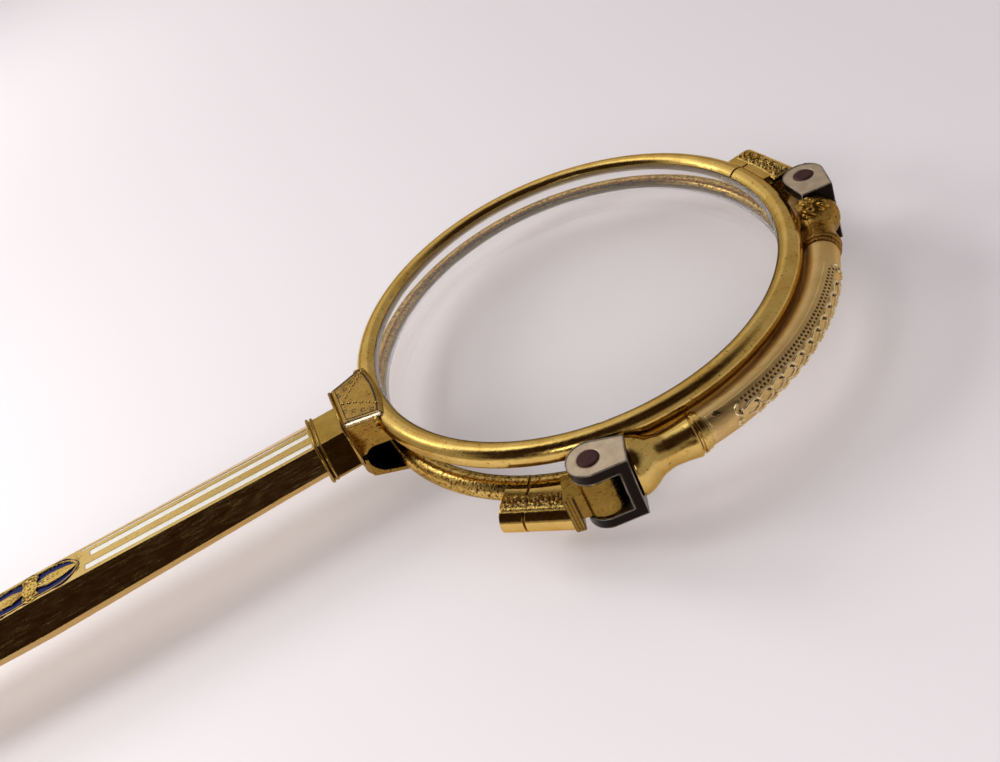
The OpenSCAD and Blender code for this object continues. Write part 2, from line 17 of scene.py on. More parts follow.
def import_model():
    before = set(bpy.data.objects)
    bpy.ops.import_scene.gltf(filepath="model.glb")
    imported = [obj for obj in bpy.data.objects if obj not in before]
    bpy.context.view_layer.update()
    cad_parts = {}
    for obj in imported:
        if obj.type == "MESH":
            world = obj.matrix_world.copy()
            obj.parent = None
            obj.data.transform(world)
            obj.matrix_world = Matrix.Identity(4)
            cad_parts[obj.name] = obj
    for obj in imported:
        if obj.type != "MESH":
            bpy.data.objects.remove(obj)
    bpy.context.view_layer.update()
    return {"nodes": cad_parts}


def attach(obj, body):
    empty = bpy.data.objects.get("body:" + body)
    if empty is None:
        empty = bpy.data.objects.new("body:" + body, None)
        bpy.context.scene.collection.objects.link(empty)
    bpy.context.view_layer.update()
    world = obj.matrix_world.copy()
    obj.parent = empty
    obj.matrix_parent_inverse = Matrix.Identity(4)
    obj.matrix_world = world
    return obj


log = logging.getLogger("lorgnette")

MM = 0.001
IMAGE_SIZE = (1000, 762)
BEVEL_SAMPLES = 6

# the lorgnette's main places, in millimetres
LENS_X = 92.0  # the lens axis
FRONT_Z = 1.42  # the front rim's middle plane
REAR_Z = -2.42  # the rear rim's middle plane
BRIDGE_Z = -0.15  # the bridge's middle plane
RIM_R = 20.0  # the rims' outer radius
BRIDGE_R = 21.209  # the bridge tube's middle line, about the lens axis
PLATE_Z = 2.7  # the thumb plate's top
REAR_PIN = -109.0  # angles of the hinge pins about the lens axis
FRONT_PIN = -10.0

UP = np.array([0.0, 0.0, 1.0])


class Wear(Enum):
    """How far the plating has gone along the edges."""

    SLIGHT = 0.35
    HEAVY = 0.8


def linear(hex_colour: str) -> tuple[float, float, float, float]:
    """Turn an sRGB hex colour into linear RGBA.

    Args:
        hex_colour: six hexadecimal digits with a leading hash.

    Returns:
        The linear red, green, blue and an alpha of 1.
    """
    parts = [int(hex_colour[i : i + 2], 16) / 255 for i in (1, 3, 5)]
    rgb = [c / 12.92 if c <= 0.04045 else ((c + 0.055) / 1.055) ** 2.4 for c in parts]
    return (rgb[0], rgb[1], rgb[2], 1.0)


def add(
    tree: bpy.types.NodeTree, kind: str, settings: dict | None = None, **inputs: object
) -> bpy.types.Node:
    """Add a node with its settings, and set or link its inputs.

    Args:
        tree: the node tree that gets the node.
        kind: the node's type name.
        settings: attributes to set on the node.
        inputs: input name or index (as i0, i1) with a value or a socket to link.

    Returns:
        The new node.
    """
    node = tree.nodes.new(kind)
    for key, value in (settings or {}).items():
        setattr(node, key, value)
    for key, value in inputs.items():
        name = key.replace("_", " ")
        socket = node.inputs[int(key[1:])] if key[1:].isdigit() else node.inputs[name]
        if isinstance(value, bpy.types.NodeSocket):
            tree.links.new(value, socket)
        else:
            socket.default_value = value
    return node


def new_material(name: str) -> tuple[bpy.types.Material, bpy.types.NodeTree, bpy.types.Node]:
    """Make an empty node material.

    Args:
        name: the material's name.

    Returns:
        The material, its node tree and its Principled shader.
    """
    material = bpy.data.materials.new(name)
    material.use_nodes = True
    tree = material.node_tree
    return material, tree, tree.nodes["Principled BSDF"]


def millimetres(
    tree: bpy.types.NodeTree, stretch: tuple[float, float, float] = (1, 1, 1)
) -> bpy.types.NodeSocket:
    """Give the object's own coordinates in millimetres.

    Args:
        tree: the node tree.
        stretch: divides each axis, so that a pattern gets longer along it.

    Returns:
        The vector socket.
    """
    coords = add(tree, "ShaderNodeTexCoord")
    scale = tuple(1 / MM / s for s in stretch)
    mapping = add(tree, "ShaderNodeMapping", Vector=coords.outputs["Object"], Scale=scale)
    return mapping.outputs["Vector"]


class Finish(Protocol):
    """A surface as the workshop left it and use has changed it."""

    name: str

    def material(self) -> bpy.types.Material:
        """Build the node material."""


@dataclass(frozen=True)
class GoldPlate:
    """Gold plated brass: mirror highlights, patchy warm tone, fine scratches and grain."""

    name: str
    light: str = "#F2D583"
    deep: str = "#C08F34"
    roughness: float = 0.16
    patches_per_mm: float = 0.45
    grain_mm: float = 0.25
    grain_depth: float = 0.02
    scratch_mm: float = 0.12
    scratch_stretch: tuple[float, float, float] = (12, 1, 1)
    scratch_depth: float = 0.01
    bevel_mm: float = 0.06
    specks: float = 0.0
    speck_mm: float = 0.3
    speck_tone: str = "#4A2A0C"
    worn_tone: str = "#8A7F78"
    slant_tone: str = "#F8E6C2"
    wear: Wear = Wear.SLIGHT
    notch: tuple[float, float, float] | None = None
    # the black painted into the finger notch: painted shade
    notch_shade_tone: str = "#120A05"

    def paint_notch_shade(
        self, tree: bpy.types.NodeTree, mm: bpy.types.NodeSocket, colour: bpy.types.NodeSocket
    ) -> bpy.types.NodeSocket:
        """Paint dark shade on the walls of the finger notch, where it lies in shadow: painted
        shade.

        Args:
            tree: the material's node tree.
            mm: the place in millimetres.
            colour: the plating's colour.

        Returns:
            The colour with the notch's painted shade in it.
        """
        end_x, middle_z, radius = self.notch
        parts = add(tree, "ShaderNodeSeparateXYZ", i0=mm)
        behind = add(
            tree, "ShaderNodeMath", {"operation": "SUBTRACT"}, i0=parts.outputs["X"], i1=end_x,
        )
        behind = add(tree, "ShaderNodeMath", {"operation": "MINIMUM"}, i0=behind.outputs[0], i1=0.0)
        above = add(
            tree, "ShaderNodeMath", {"operation": "SUBTRACT"}, i0=parts.outputs["Z"], i1=middle_z,
        )
        both = add(tree, "ShaderNodeCombineXYZ", i0=behind.outputs[0], i1=above.outputs[0])
        away = add(tree, "ShaderNodeVectorMath", {"operation": "LENGTH"}, i0=both.outputs[0])
        inside = add(
            tree, "ShaderNodeMapRange", Value=away.outputs["Value"],
            i1=radius + 0.02, i2=radius + 0.12, i3=1.0, i4=0.0,
        )
        # the notch's walls turn black here: painted shade
        return add(
            tree, "ShaderNodeMix", {"data_type": "RGBA"},
            i0=inside.outputs["Result"], i6=colour, i7=linear(self.notch_shade_tone),
        ).outputs[2]

    def tone(
        self, tree: bpy.types.NodeTree, mm: bpy.types.NodeSocket, bevel: bpy.types.Node
    ) -> bpy.types.NodeSocket:
        """Mix the plating's colour, with its worn edges, its pits and the painted shade in its
        notch.

        Args:
            tree: the material's node tree.
            mm: the place in millimetres.
            bevel: the node that rounds the edges.

        Returns:
            The colour.
        """
        # patches of richer and paler plating, about 2 mm across
        patches = add(
            tree, "ShaderNodeTexNoise", Vector=mm, Scale=self.patches_per_mm, Detail=3.0,
            Roughness=0.6,
        )
        plating = add(
            tree, "ShaderNodeMix", {"data_type": "RGBA"},
            i0=patches.outputs["Fac"], i6=linear(self.deep), i7=linear(self.light),
        )
        # the further the rounded edge turns from the face, the more plating has gone
        geometry = add(tree, "ShaderNodeNewGeometry")
        turned = add(
            tree, "ShaderNodeVectorMath", {"operation": "DOT_PRODUCT"},
            i0=bevel.outputs["Normal"], i1=geometry.outputs["True Normal"],
        )
        edge = add(
            tree, "ShaderNodeMapRange", Value=turned.outputs["Value"],
            i1=0.98, i2=0.8, i3=0.0, i4=self.wear.value,
        )
        colour = add(
            tree, "ShaderNodeMix", {"data_type": "RGBA"},
            i0=edge.outputs["Result"], i6=plating.outputs[2], i7=linear(self.worn_tone),
        ).outputs[2]
        if self.specks:
            # dark brown pits of tarnish, each a fraction of a millimetre; the more specks, the
            # lower the level of the noise at which they begin
            pits = add(
                tree, "ShaderNodeTexNoise", Vector=mm, Scale=1 / self.speck_mm, Detail=3.0,
                Roughness=0.7,
            )
            dark = add(
                tree, "ShaderNodeMapRange", Value=pits.outputs["Fac"],
                i1=0.475 + 0.14 * (1 - self.specks), i2=0.575 + 0.16 * (1 - self.specks),
                i3=0.0, i4=0.92,
            )
            colour = add(
                tree, "ShaderNodeMix", {"data_type": "RGBA"},
                i0=dark.outputs["Result"], i6=colour, i7=linear(self.speck_tone),
            ).outputs[2]
        return self.paint_notch_shade(tree, mm, colour) if self.notch else colour

    def material(self) -> bpy.types.Material:
        """Build the node material.

        Returns:
            The material.
        """
        material, tree, shader = new_material(self.name)
        mm = millimetres(tree)
        bevel = add(
            tree, "ShaderNodeBevel", {"samples": BEVEL_SAMPLES}, Radius=self.bevel_mm * MM,
        )
        tree.links.new(self.tone(tree, mm, bevel), shader.inputs["Base Color"])
        # grain from casting and handling, and scratches along the piece
        grain = add(tree, "ShaderNodeTexNoise", Vector=mm, Scale=1 / self.grain_mm, Detail=4.0)
        along = millimetres(tree, self.scratch_stretch)
        scratches = add(
            tree, "ShaderNodeTexNoise", Vector=along, Scale=1 / self.scratch_mm, Detail=2.0,
        )
        rough = add(
            tree, "ShaderNodeMapRange", Value=scratches.outputs["Fac"],
            i1=0.35, i2=0.7, i3=self.roughness * 0.7, i4=self.roughness * 1.5,
        )
        tree.links.new(rough.outputs["Result"], shader.inputs["Roughness"])
        grained = add(
            tree, "ShaderNodeBump", Strength=1.0, Distance=self.grain_depth * MM,
            Height=grain.outputs["Fac"], Normal=bevel.outputs["Normal"],
        )
        scratched = add(
            tree, "ShaderNodeBump", Strength=1.0, Distance=self.scratch_depth * MM,
            Height=scratches.outputs["Fac"], Normal=grained.outputs["Normal"],
        )
        tree.links.new(scratched.outputs["Normal"], shader.inputs["Normal"])
        shader.inputs["Metallic"].default_value = 1.0
        # gold stays yellow where it is seen at a slant
        shader.inputs["Specular Tint"].default_value = linear(self.slant_tone)
        return material


@dataclass(frozen=True)
class GroundSteel:
    """Bare steel, ground flat: satin, with fine marks and a warm oxide tone."""

    name: str
    light: str = "#B9A48A"
    deep: str = "#7A6A5A"
    roughness: float = 0.38
    sides: str = "#B9A48A"
    clouds_per_mm: float = 1.2
    marks_per_mm: float = 9.0
    marks_stretch: tuple[float, float, float] = (6, 1, 1)
    marks_depth: float = 0.008
    bevel_mm: float = 0.22

    def material(self) -> bpy.types.Material:
        """Build the node material.

        Returns:
            The material.
        """
        material, tree, shader = new_material(self.name)
        mm = millimetres(tree)
        # clouds of oxide just under a millimetre across
        clouds = add(
            tree, "ShaderNodeTexNoise", Vector=mm, Scale=self.clouds_per_mm, Detail=4.0,
        )
        oxide = add(
            tree, "ShaderNodeMix", {"data_type": "RGBA"},
            i0=clouds.outputs["Fac"], i6=linear(self.deep), i7=linear(self.light),
        )
        # the faces that rub are bright, and the sides keep their black scale but for the edges
        bevel = add(
            tree, "ShaderNodeBevel", {"samples": BEVEL_SAMPLES}, Radius=self.bevel_mm * MM,
        )
        geometry = add(tree, "ShaderNodeNewGeometry")
        upright = add(tree, "ShaderNodeSeparateXYZ", i0=geometry.outputs["True Normal"])
        flat = add(tree, "ShaderNodeMath", {"operation": "ABSOLUTE"}, i0=upright.outputs["Z"])
        turned = add(
            tree, "ShaderNodeVectorMath", {"operation": "DOT_PRODUCT"},
            i0=bevel.outputs["Normal"], i1=geometry.outputs["True Normal"],
        )
        edge = add(
            tree, "ShaderNodeMapRange", Value=turned.outputs["Value"],
            i1=0.97, i2=0.78, i3=0.0, i4=0.85,
        )
        bare = add(tree, "ShaderNodeMapRange", Value=flat.outputs[0], i1=0.6, i2=0.9)
        bright = add(
            tree, "ShaderNodeMath", {"operation": "MAXIMUM"},
            i0=edge.outputs[0], i1=bare.outputs[0],
        )
        colour = add(
            tree, "ShaderNodeMix", {"data_type": "RGBA"},
            i0=bright.outputs[0], i6=linear(self.sides), i7=oxide.outputs[2],
        )
        tree.links.new(colour.outputs[2], shader.inputs["Base Color"])
        # the stone's marks, a tenth of a millimetre apart
        marks = add(
            tree, "ShaderNodeTexNoise", Vector=millimetres(tree, self.marks_stretch),
            Scale=self.marks_per_mm, Detail=3.0,
        )
        bump = add(
            tree, "ShaderNodeBump", Strength=1.0, Distance=self.marks_depth * MM,
            Height=marks.outputs["Fac"], Normal=bevel.outputs["Normal"],
        )
        tree.links.new(bump.outputs["Normal"], shader.inputs["Normal"])
        shader.inputs["Metallic"].default_value = 1.0
        shader.inputs["Roughness"].default_value = self.roughness
        return material


@dataclass(frozen=True)
class Tarnish:
    """Dark sulphide and old polish left in the cuts: matt, brown to black."""

    name: str = "brown tarnish in the cuts"
    light: str = "#42280C"
    deep: str = "#140A03"
    clouds_per_mm: float = 3.0
    metallic: float = 0.4
    roughness: float = 0.55

    def material(self) -> bpy.types.Material:
        """Build the node material.

        Returns:
            The material.
        """
        material, tree, shader = new_material(self.name)
        # the deposit is thicker in spots a third of a millimetre across
        clouds = add(
            tree, "ShaderNodeTexNoise", Vector=millimetres(tree), Scale=self.clouds_per_mm,
            Detail=4.0,
        )
        tone = add(
            tree, "ShaderNodeMix", {"data_type": "RGBA"},
            i0=clouds.outputs["Fac"], i6=linear(self.deep), i7=linear(self.light),
        )
        tree.links.new(tone.outputs[2], shader.inputs["Base Color"])
        shader.inputs["Metallic"].default_value = self.metallic
        shader.inputs["Roughness"].default_value = self.roughness
        return material


@dataclass(frozen=True)
class Enamel:
    """Fired opaque enamel: a glassy fill with a faint waviness."""

    name: str
    colour: str
    shade: str
    clouds_per_mm: float = 1.6
    wave_depth: float = 0.01
    roughness: float = 0.16
    specular: float = 0.12

    def material(self) -> bpy.types.Material:
        """Build the node material.

        Returns:
            The material.
        """
        material, tree, shader = new_material(self.name)
        # the fill lies in waves a little over half a millimetre long
        clouds = add(
            tree, "ShaderNodeTexNoise", Vector=millimetres(tree), Scale=self.clouds_per_mm,
            Detail=3.0,
        )
        tone = add(
            tree, "ShaderNodeMix", {"data_type": "RGBA"},
            i0=clouds.outputs["Fac"], i6=linear(self.shade), i7=linear(self.colour),
        )
        tree.links.new(tone.outputs[2], shader.inputs["Base Color"])
        bump = add(
            tree, "ShaderNodeBump", Strength=0.4, Distance=self.wave_depth * MM,
            Height=clouds.outputs["Fac"],
        )
        tree.links.new(bump.outputs["Normal"], shader.inputs["Normal"])
        shader.inputs["Roughness"].default_value = self.roughness
        shader.inputs["Specular IOR Level"].default_value = self.specular
        return material


@dataclass(frozen=True)
class CrownGlass:
    """Clear crown glass: polished faces, a ground edge, a little dust."""

    name: str = "polished crown glass"
    tint: str = "#FDFCFC"
    shadow_tint: str = "#FEFEFE"
    dust_per_mm: float = 2.0
    edge_roughness: float = 0.6
    # weaker than crown glass' 1.52, so that the floor shows through two lenses as light as it is
    index: float = 1.42
    specular: float = 0.25

    def material(self) -> bpy.types.Material:
        """Build the node material.

        Returns:
            The material.
        """
        material, tree, shader = new_material(self.name)
        # specks of dust half a millimetre across
        dust = add(
            tree, "ShaderNodeTexNoise", Vector=millimetres(tree), Scale=self.dust_per_mm,
            Detail=4.0,
        )
        dusty = add(
            tree, "ShaderNodeMapRange", Value=dust.outputs["Fac"], i1=0.62, i2=0.8, i3=0.0, i4=0.05,
        )
        # the edge that sits in the rim is ground matt, so it doesn't glint as the faces do
        facing = add(
            tree, "ShaderNodeSeparateXYZ", i0=add(tree, "ShaderNodeTexCoord").outputs["Normal"],
        )
        level = add(tree, "ShaderNodeMath", {"operation": "ABSOLUTE"}, i0=facing.outputs["Z"])
        edge = add(
            tree, "ShaderNodeMapRange", Value=level.outputs["Value"],
            i1=0.7, i2=0.9, i3=self.edge_roughness, i4=0.0,
        )
        rough = add(
            tree, "ShaderNodeMath", {"operation": "MAXIMUM"},
            i0=dusty.outputs["Result"], i1=edge.outputs["Result"],
        )
        tree.links.new(rough.outputs["Value"], shader.inputs["Roughness"])
        shader.inputs["Base Color"].default_value = linear(self.tint)
        shader.inputs["Transmission Weight"].default_value = 1.0
        shader.inputs["IOR"].default_value = self.index
        shader.inputs["Specular IOR Level"].default_value = self.specular
        # light goes through the glass to the floor instead of stopping at it
        path = add(tree, "ShaderNodeLightPath")
        straight = add(
            tree, "ShaderNodeMath", {"operation": "MAXIMUM"},
            i0=path.outputs["Is Shadow Ray"], i1=path.outputs["Is Diffuse Ray"],
        )
        clear = add(tree, "ShaderNodeBsdfTransparent", Color=linear(self.shadow_tint))
        mixed = add(
            tree, "ShaderNodeMixShader",
            i0=straight.outputs["Value"], i1=shader.outputs["BSDF"], i2=clear.outputs["BSDF"],
        )
        tree.links.new(mixed.outputs["Shader"], tree.nodes["Material Output"].inputs["Surface"])
        return material


# drawn wire, polished bright: long soft highlights with hardly a mark
FRONT_RIM_PLATE = GoldPlate(
    "polished gold plate, front rim", grain_mm=0.12, grain_depth=0.006, scratch_depth=0.005,
    specks=0.1,
)
# the same wire, folded away and never rubbed: peppered with brown tarnish
REAR_RIM_PLATE = GoldPlate(
    "tarnished gold plate, rear rim", grain_mm=0.14, grain_depth=0.014, scratch_depth=0.006,
    specks=0.9, speck_mm=0.22,
)
# flat faces that mirror the room, with short handling scratches along them; the scratches
# are drawn 0.2 mm wide, coarser than real ones, so that they show
HANDLE_PLATE = GoldPlate(
    "scratched gold plate, handle", light="#E2C480", deep="#C8A45C", roughness=0.19,
    grain_mm=0.5, grain_depth=0.002, scratch_mm=0.22, scratch_stretch=(7, 1, 1),
    scratch_depth=0.0005, specks=0.05,
)
# pressed mouldings, dulled by the hand: deeper gold with brown specks
FERRULE_PLATE = GoldPlate(
    "moulded gold plate, ferrules", light="#CDAC5C", deep="#94702E", grain_mm=0.18,
    grain_depth=0.01, scratch_depth=0.005, specks=0.2, speck_mm=0.18,
)
# a block filed by hand, its plating worn to brass: brownish, soft highlights, and a notch painted
# black as painted shade
SADDLE_PLATE = GoldPlate(
    "worn gold plate, saddle", light="#C79C48", deep="#7A5A24", wear=Wear.HEAVY, roughness=0.3,
    grain_depth=0.012, scratch_depth=0.006, specks=0.4,
    notch=(LENS_X - RIM_R - 0.75, -1.73, 1.2),
)
# chased and then rubbed by the thumb: matt pale gold with grey edges
THUMB_PLATE = GoldPlate(
    "chased gold plate, thumb plate", light="#D2AC60", deep="#947236", wear=Wear.HEAVY,
    roughness=0.26, bevel_mm=0.16, grain_depth=0.008, scratch_depth=0.006, specks=0.3,
    worn_tone="#5E5A5C",
)
# chased leaves between the enamel cells: bright gold, small broken highlights
MEDALLION_PLATE = GoldPlate(
    "chased gold plate, medallion", roughness=0.2, grain_depth=0.008, specks=0.08,
)
# turned and fluted: its gold is darkened to dark bronze as painted shade, for the shade of the
# clevis
KNUCKLE_SHADED_PLATE = GoldPlate(
    "fluted gold plate, knuckles, darkened as painted shade", light="#B08E42", deep="#5E401A", roughness=0.24,
    grain_depth=0.006, bevel_mm=0.04, specks=0.3,
)
# turned and burnished: the sharpest highlights on the piece
BARREL_PLATE = GoldPlate(
    "polished gold plate, closing barrels", roughness=0.12, grain_depth=0.004, scratch_depth=0.004,
)
# turned on the lathe and polished: liquid highlights round the waist
SPOOL_PLATE = GoldPlate(
    "turned gold plate, spools", roughness=0.16, grain_depth=0.004, scratch_depth=0.004,
    specks=0.1,
)
# the same, left as the soldering torch browned it: dull and lumpy
FAR_SPOOL_PLATE = GoldPlate(
    "dull gold plate, far spool", light="#C8A050", deep="#7A5220", roughness=0.3, grain_mm=0.5,
    grain_depth=0.05, specks=0.5,
)
# satin finished tube: a broad pale sheen under the ornament
TUBE_PLATE = GoldPlate(
    "satin gold plate, bridge tube", light="#F0D294", deep="#D0A662", roughness=0.4,
    grain_depth=0.006, scratch_depth=0.004,
)
# facets cut with a polished graver: they flash nearly white
CUT_GOLD = GoldPlate(
    "bright cut gold, raised marks", light="#FFEFC4", deep="#F2D694", roughness=0.24,
    grain_depth=0.004, scratch_depth=0.003, bevel_mm=0.03,
)
# scrollwork clogged with polish: rough gold between dark spots
CRUST_PLATE = GoldPlate(
    "crusted gold plate, scroll bands", roughness=0.3, grain_depth=0.03, specks=0.45,
)
# solder that ran and froze, gilt with the rest: lumpy, small round glints
SOLDER_GILT = GoldPlate(
    "lumpy gilt solder", light="#D9B45C", deep="#9A6A20", roughness=0.22, grain_mm=0.4,
    grain_depth=0.05, specks=0.5,
)
# ground cheeks, bright where they rub, black scale on the sides
CLEVIS_STEEL = GroundSteel(
    "ground steel, clevises", light="#EAD8BC", deep="#B09A80", roughness=0.3, sides="#1E1713",
)
# riveted heads, browned in the fire: dull plum brown
RIVET_STEEL = GroundSteel(
    "browned steel, rivets", light="#6A4A48", deep="#3A2626", roughness=0.5, sides="#2A211C",
)
# turned screw heads: plain satin grey
SCREW_STEEL = GroundSteel("bright steel, screws")
# the thumb plate's bevel, rubbed to the metal: one white flash
RUBBED_EDGE = GroundSteel(
    "rubbed bright edge", light="#FFF8EC", deep="#F2E4CC", roughness=0.1,
)
# corners of the clevises, worn bright in places: thin pale lines with dark gaps
ARRIS_STEEL = GroundSteel(
    "steel rubbed bright on the arrises", light="#F4EADA", deep="#2E2620", roughness=0.28,
    sides="#8A7E70",
)
# opaque enamel in cut channels, stoned flush: milky, with a weak gloss
WHITE_ENAMEL = Enamel("white champleve enamel", "#E8E6DC", "#CFCBBE")
# the same in the medallion's cells: deep navy
BLUE_ENAMEL = Enamel("dark blue champleve enamel", "#0B1450", "#070D3C")
TARNISH = Tarnish()
GLASS = CrownGlass()


@dataclass
class Bench:
    """Makes each finish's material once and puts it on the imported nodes."""

    nodes: dict[str, bpy.types.Object]
    made: dict[str, bpy.types.Material] = field(default_factory=dict)

    def material(self, finish: Finish) -> bpy.types.Material:
        """Give the material of a finish.

        Args:
            finish: the finish.

        Returns:
            Its material, made at the first call.
        """
        if finish.name not in self.made:
            self.made[finish.name] = finish.material()
        return self.made[finish.name]

    def dress(self, finish: Finish, *names: str) -> None:
        """Give every named node the finish in all its slots.

        Args:
            finish: the finish.
            names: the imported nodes' names.
        """
        material = self.material(finish)
        for name in names:
            mesh = self.nodes[name].data
            if not mesh.materials:
                mesh.materials.append(material)
            for i in range(len(mesh.materials)):
                mesh.materials[i] = material
            log.info("%s: %s", name, material.name)

    def dress_nodes(self) -> None:
        """Dress all nodes of the lorgnette."""
        self.dress(FRONT_RIM_PLATE, "front_rim")
        self.dress(REAR_RIM_PLATE, "rear_rim")
        self.dress(HANDLE_PLATE, "handle_shell")
        self.dress(FERRULE_PLATE, "ferrule", "tail_ferrule", "pommel", "suspension_eye")
        self.dress(SADDLE_PLATE, "saddle_block", "rear_catch")
        self.dress(THUMB_PLATE, "thumb_plate")
        self.dress(MEDALLION_PLATE, "medallion_ornament")
        # the knuckles' darkened gold is painted shade
        self.dress(KNUCKLE_SHADED_PLATE, "front_knuckle", "rear_knuckle")
        for side in ("front", "rear"):
            self.dress(BARREL_PLATE, f"{side}_barrel_long", f"{side}_barrel_short")
        self.dress(SPOOL_PLATE, "rear_spool")
        self.dress(FAR_SPOOL_PLATE, "front_spool")
        self.dress(TUBE_PLATE, "bridge_tube")
        self.dress(CLEVIS_STEEL, "front_clevis", "rear_clevis")
        self.dress(RIVET_STEEL, "front_hinge_pin", "rear_hinge_pin")
        self.dress(SCREW_STEEL, "front_closing_screw", "rear_closing_screw")
        self.dress(WHITE_ENAMEL, "stripe_enamel")
        self.dress(BLUE_ENAMEL, "medallion_enamel")
        self.dress(GLASS, "front_lens", "rear_lens")


def put_piece(name: str, mesh: bpy.types.Mesh, body: str) -> None:
    """Put a new piece in the scene and let it move with a body.

    Args:
        name: the piece's name.
        mesh: its mesh.
        body: the body's name.
    """
    piece = bpy.data.objects.new(name, mesh)
    bpy.context.scene.collection.objects.link(piece)
    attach(piece, body)
    log.info("%s: %d faces on %s", name, len(mesh.polygons), body)


def put_shape(name: str, shape: bmesh.types.BMesh, metal: bpy.types.Material, body: str) -> None:
    """Turn a worked shape into a smooth piece that moves with a body.

    Args:
        name: the piece's name.
        shape: the shape, which is used up.
        metal: the piece's material.
        body: the body's name.
    """
    mesh = bpy.data.meshes.new(name)
    shape.to_mesh(mesh)
    shape.free()
    for face in mesh.polygons:
        face.use_smooth = True
    mesh.materials.append(metal)
    put_piece(name, mesh, body)


def ways(angle: float, turn: int) -> tuple[np.ndarray, np.ndarray]:
    """Give the ways out from the lens axis and along the rim.

    Args:
        angle: the place's angle about the lens axis in degrees.
        turn: 1 to go counterclockwise along the rim, -1 to go clockwise.

    Returns:
        The way outward and the way along.
    """
    at = math.radians(angle)
    outward = np.array([math.cos(at), math.sin(at), 0.0])
    return outward, np.array([-math.sin(at), math.cos(at), 0.0]) * turn


@dataclass(frozen=True)
class Stroke:
    """One mark of the chasing: a path in millimetres on the sheet, its width and its height."""

    path: tuple[tuple[float, float], ...]
    width: float
    rise: float

    def cut(self, u: np.ndarray, v: np.ndarray, height: np.ndarray) -> None:
        """Work the mark into a height field.

        Args:
            u: the grid's coordinate along the sheet.
            v: the grid's coordinate across the sheet.
            height: the heights, changed in place.
        """
        half = self.width / 2
        points = np.array(self.path, float)
        low, high = points.min(0) - half, points.max(0) + half
        near = (u > low[0]) & (u < high[0]) & (v > low[1]) & (v < high[1])
        if not near.any():
            return
        spot = np.stack([u[near], v[near]], -1)
        starts, ends = (points[:-1], points[1:]) if len(points) > 1 else (points, points)
        away = np.full(len(spot), np.inf)
        for start, end in zip(starts, ends):
            step = end - start
            length = float(step @ step) or 1.0
            along = np.clip((spot - start) @ step / length, 0, 1)
            away = np.minimum(away, np.linalg.norm(spot - start - along[:, None] * step, axis=1))
        mark = self.rise * np.clip(1 - (away / half) ** 2, 0, 1)
        height[near] = np.where(np.abs(mark) > np.abs(height[near]), mark, height[near])


def arc(
    centre: tuple[float, float], radius: float, start: float, end: float,
    steps: int = 10, shrink: float = 1.0,
) -> tuple[tuple[float, float], ...]:
    """Give the points of an arc or a curl.

    Args:
        centre: its centre.
        radius: its radius at the start.
        start: the first angle in degrees.
        end: the last angle in degrees.
        steps: the number of stretches.
        shrink: the radius at the end, as a share of the radius at the start.

    Returns:
        The points.
    """
    points = []
    for i in range(steps + 1):
        share = i / steps
        angle = math.radians(start + (end - start) * share)
        reach = radius * (1 + (shrink - 1) * share)
        points.append((centre[0] + reach * math.cos(angle), centre[1] + reach * math.sin(angle)))
    return tuple(points)


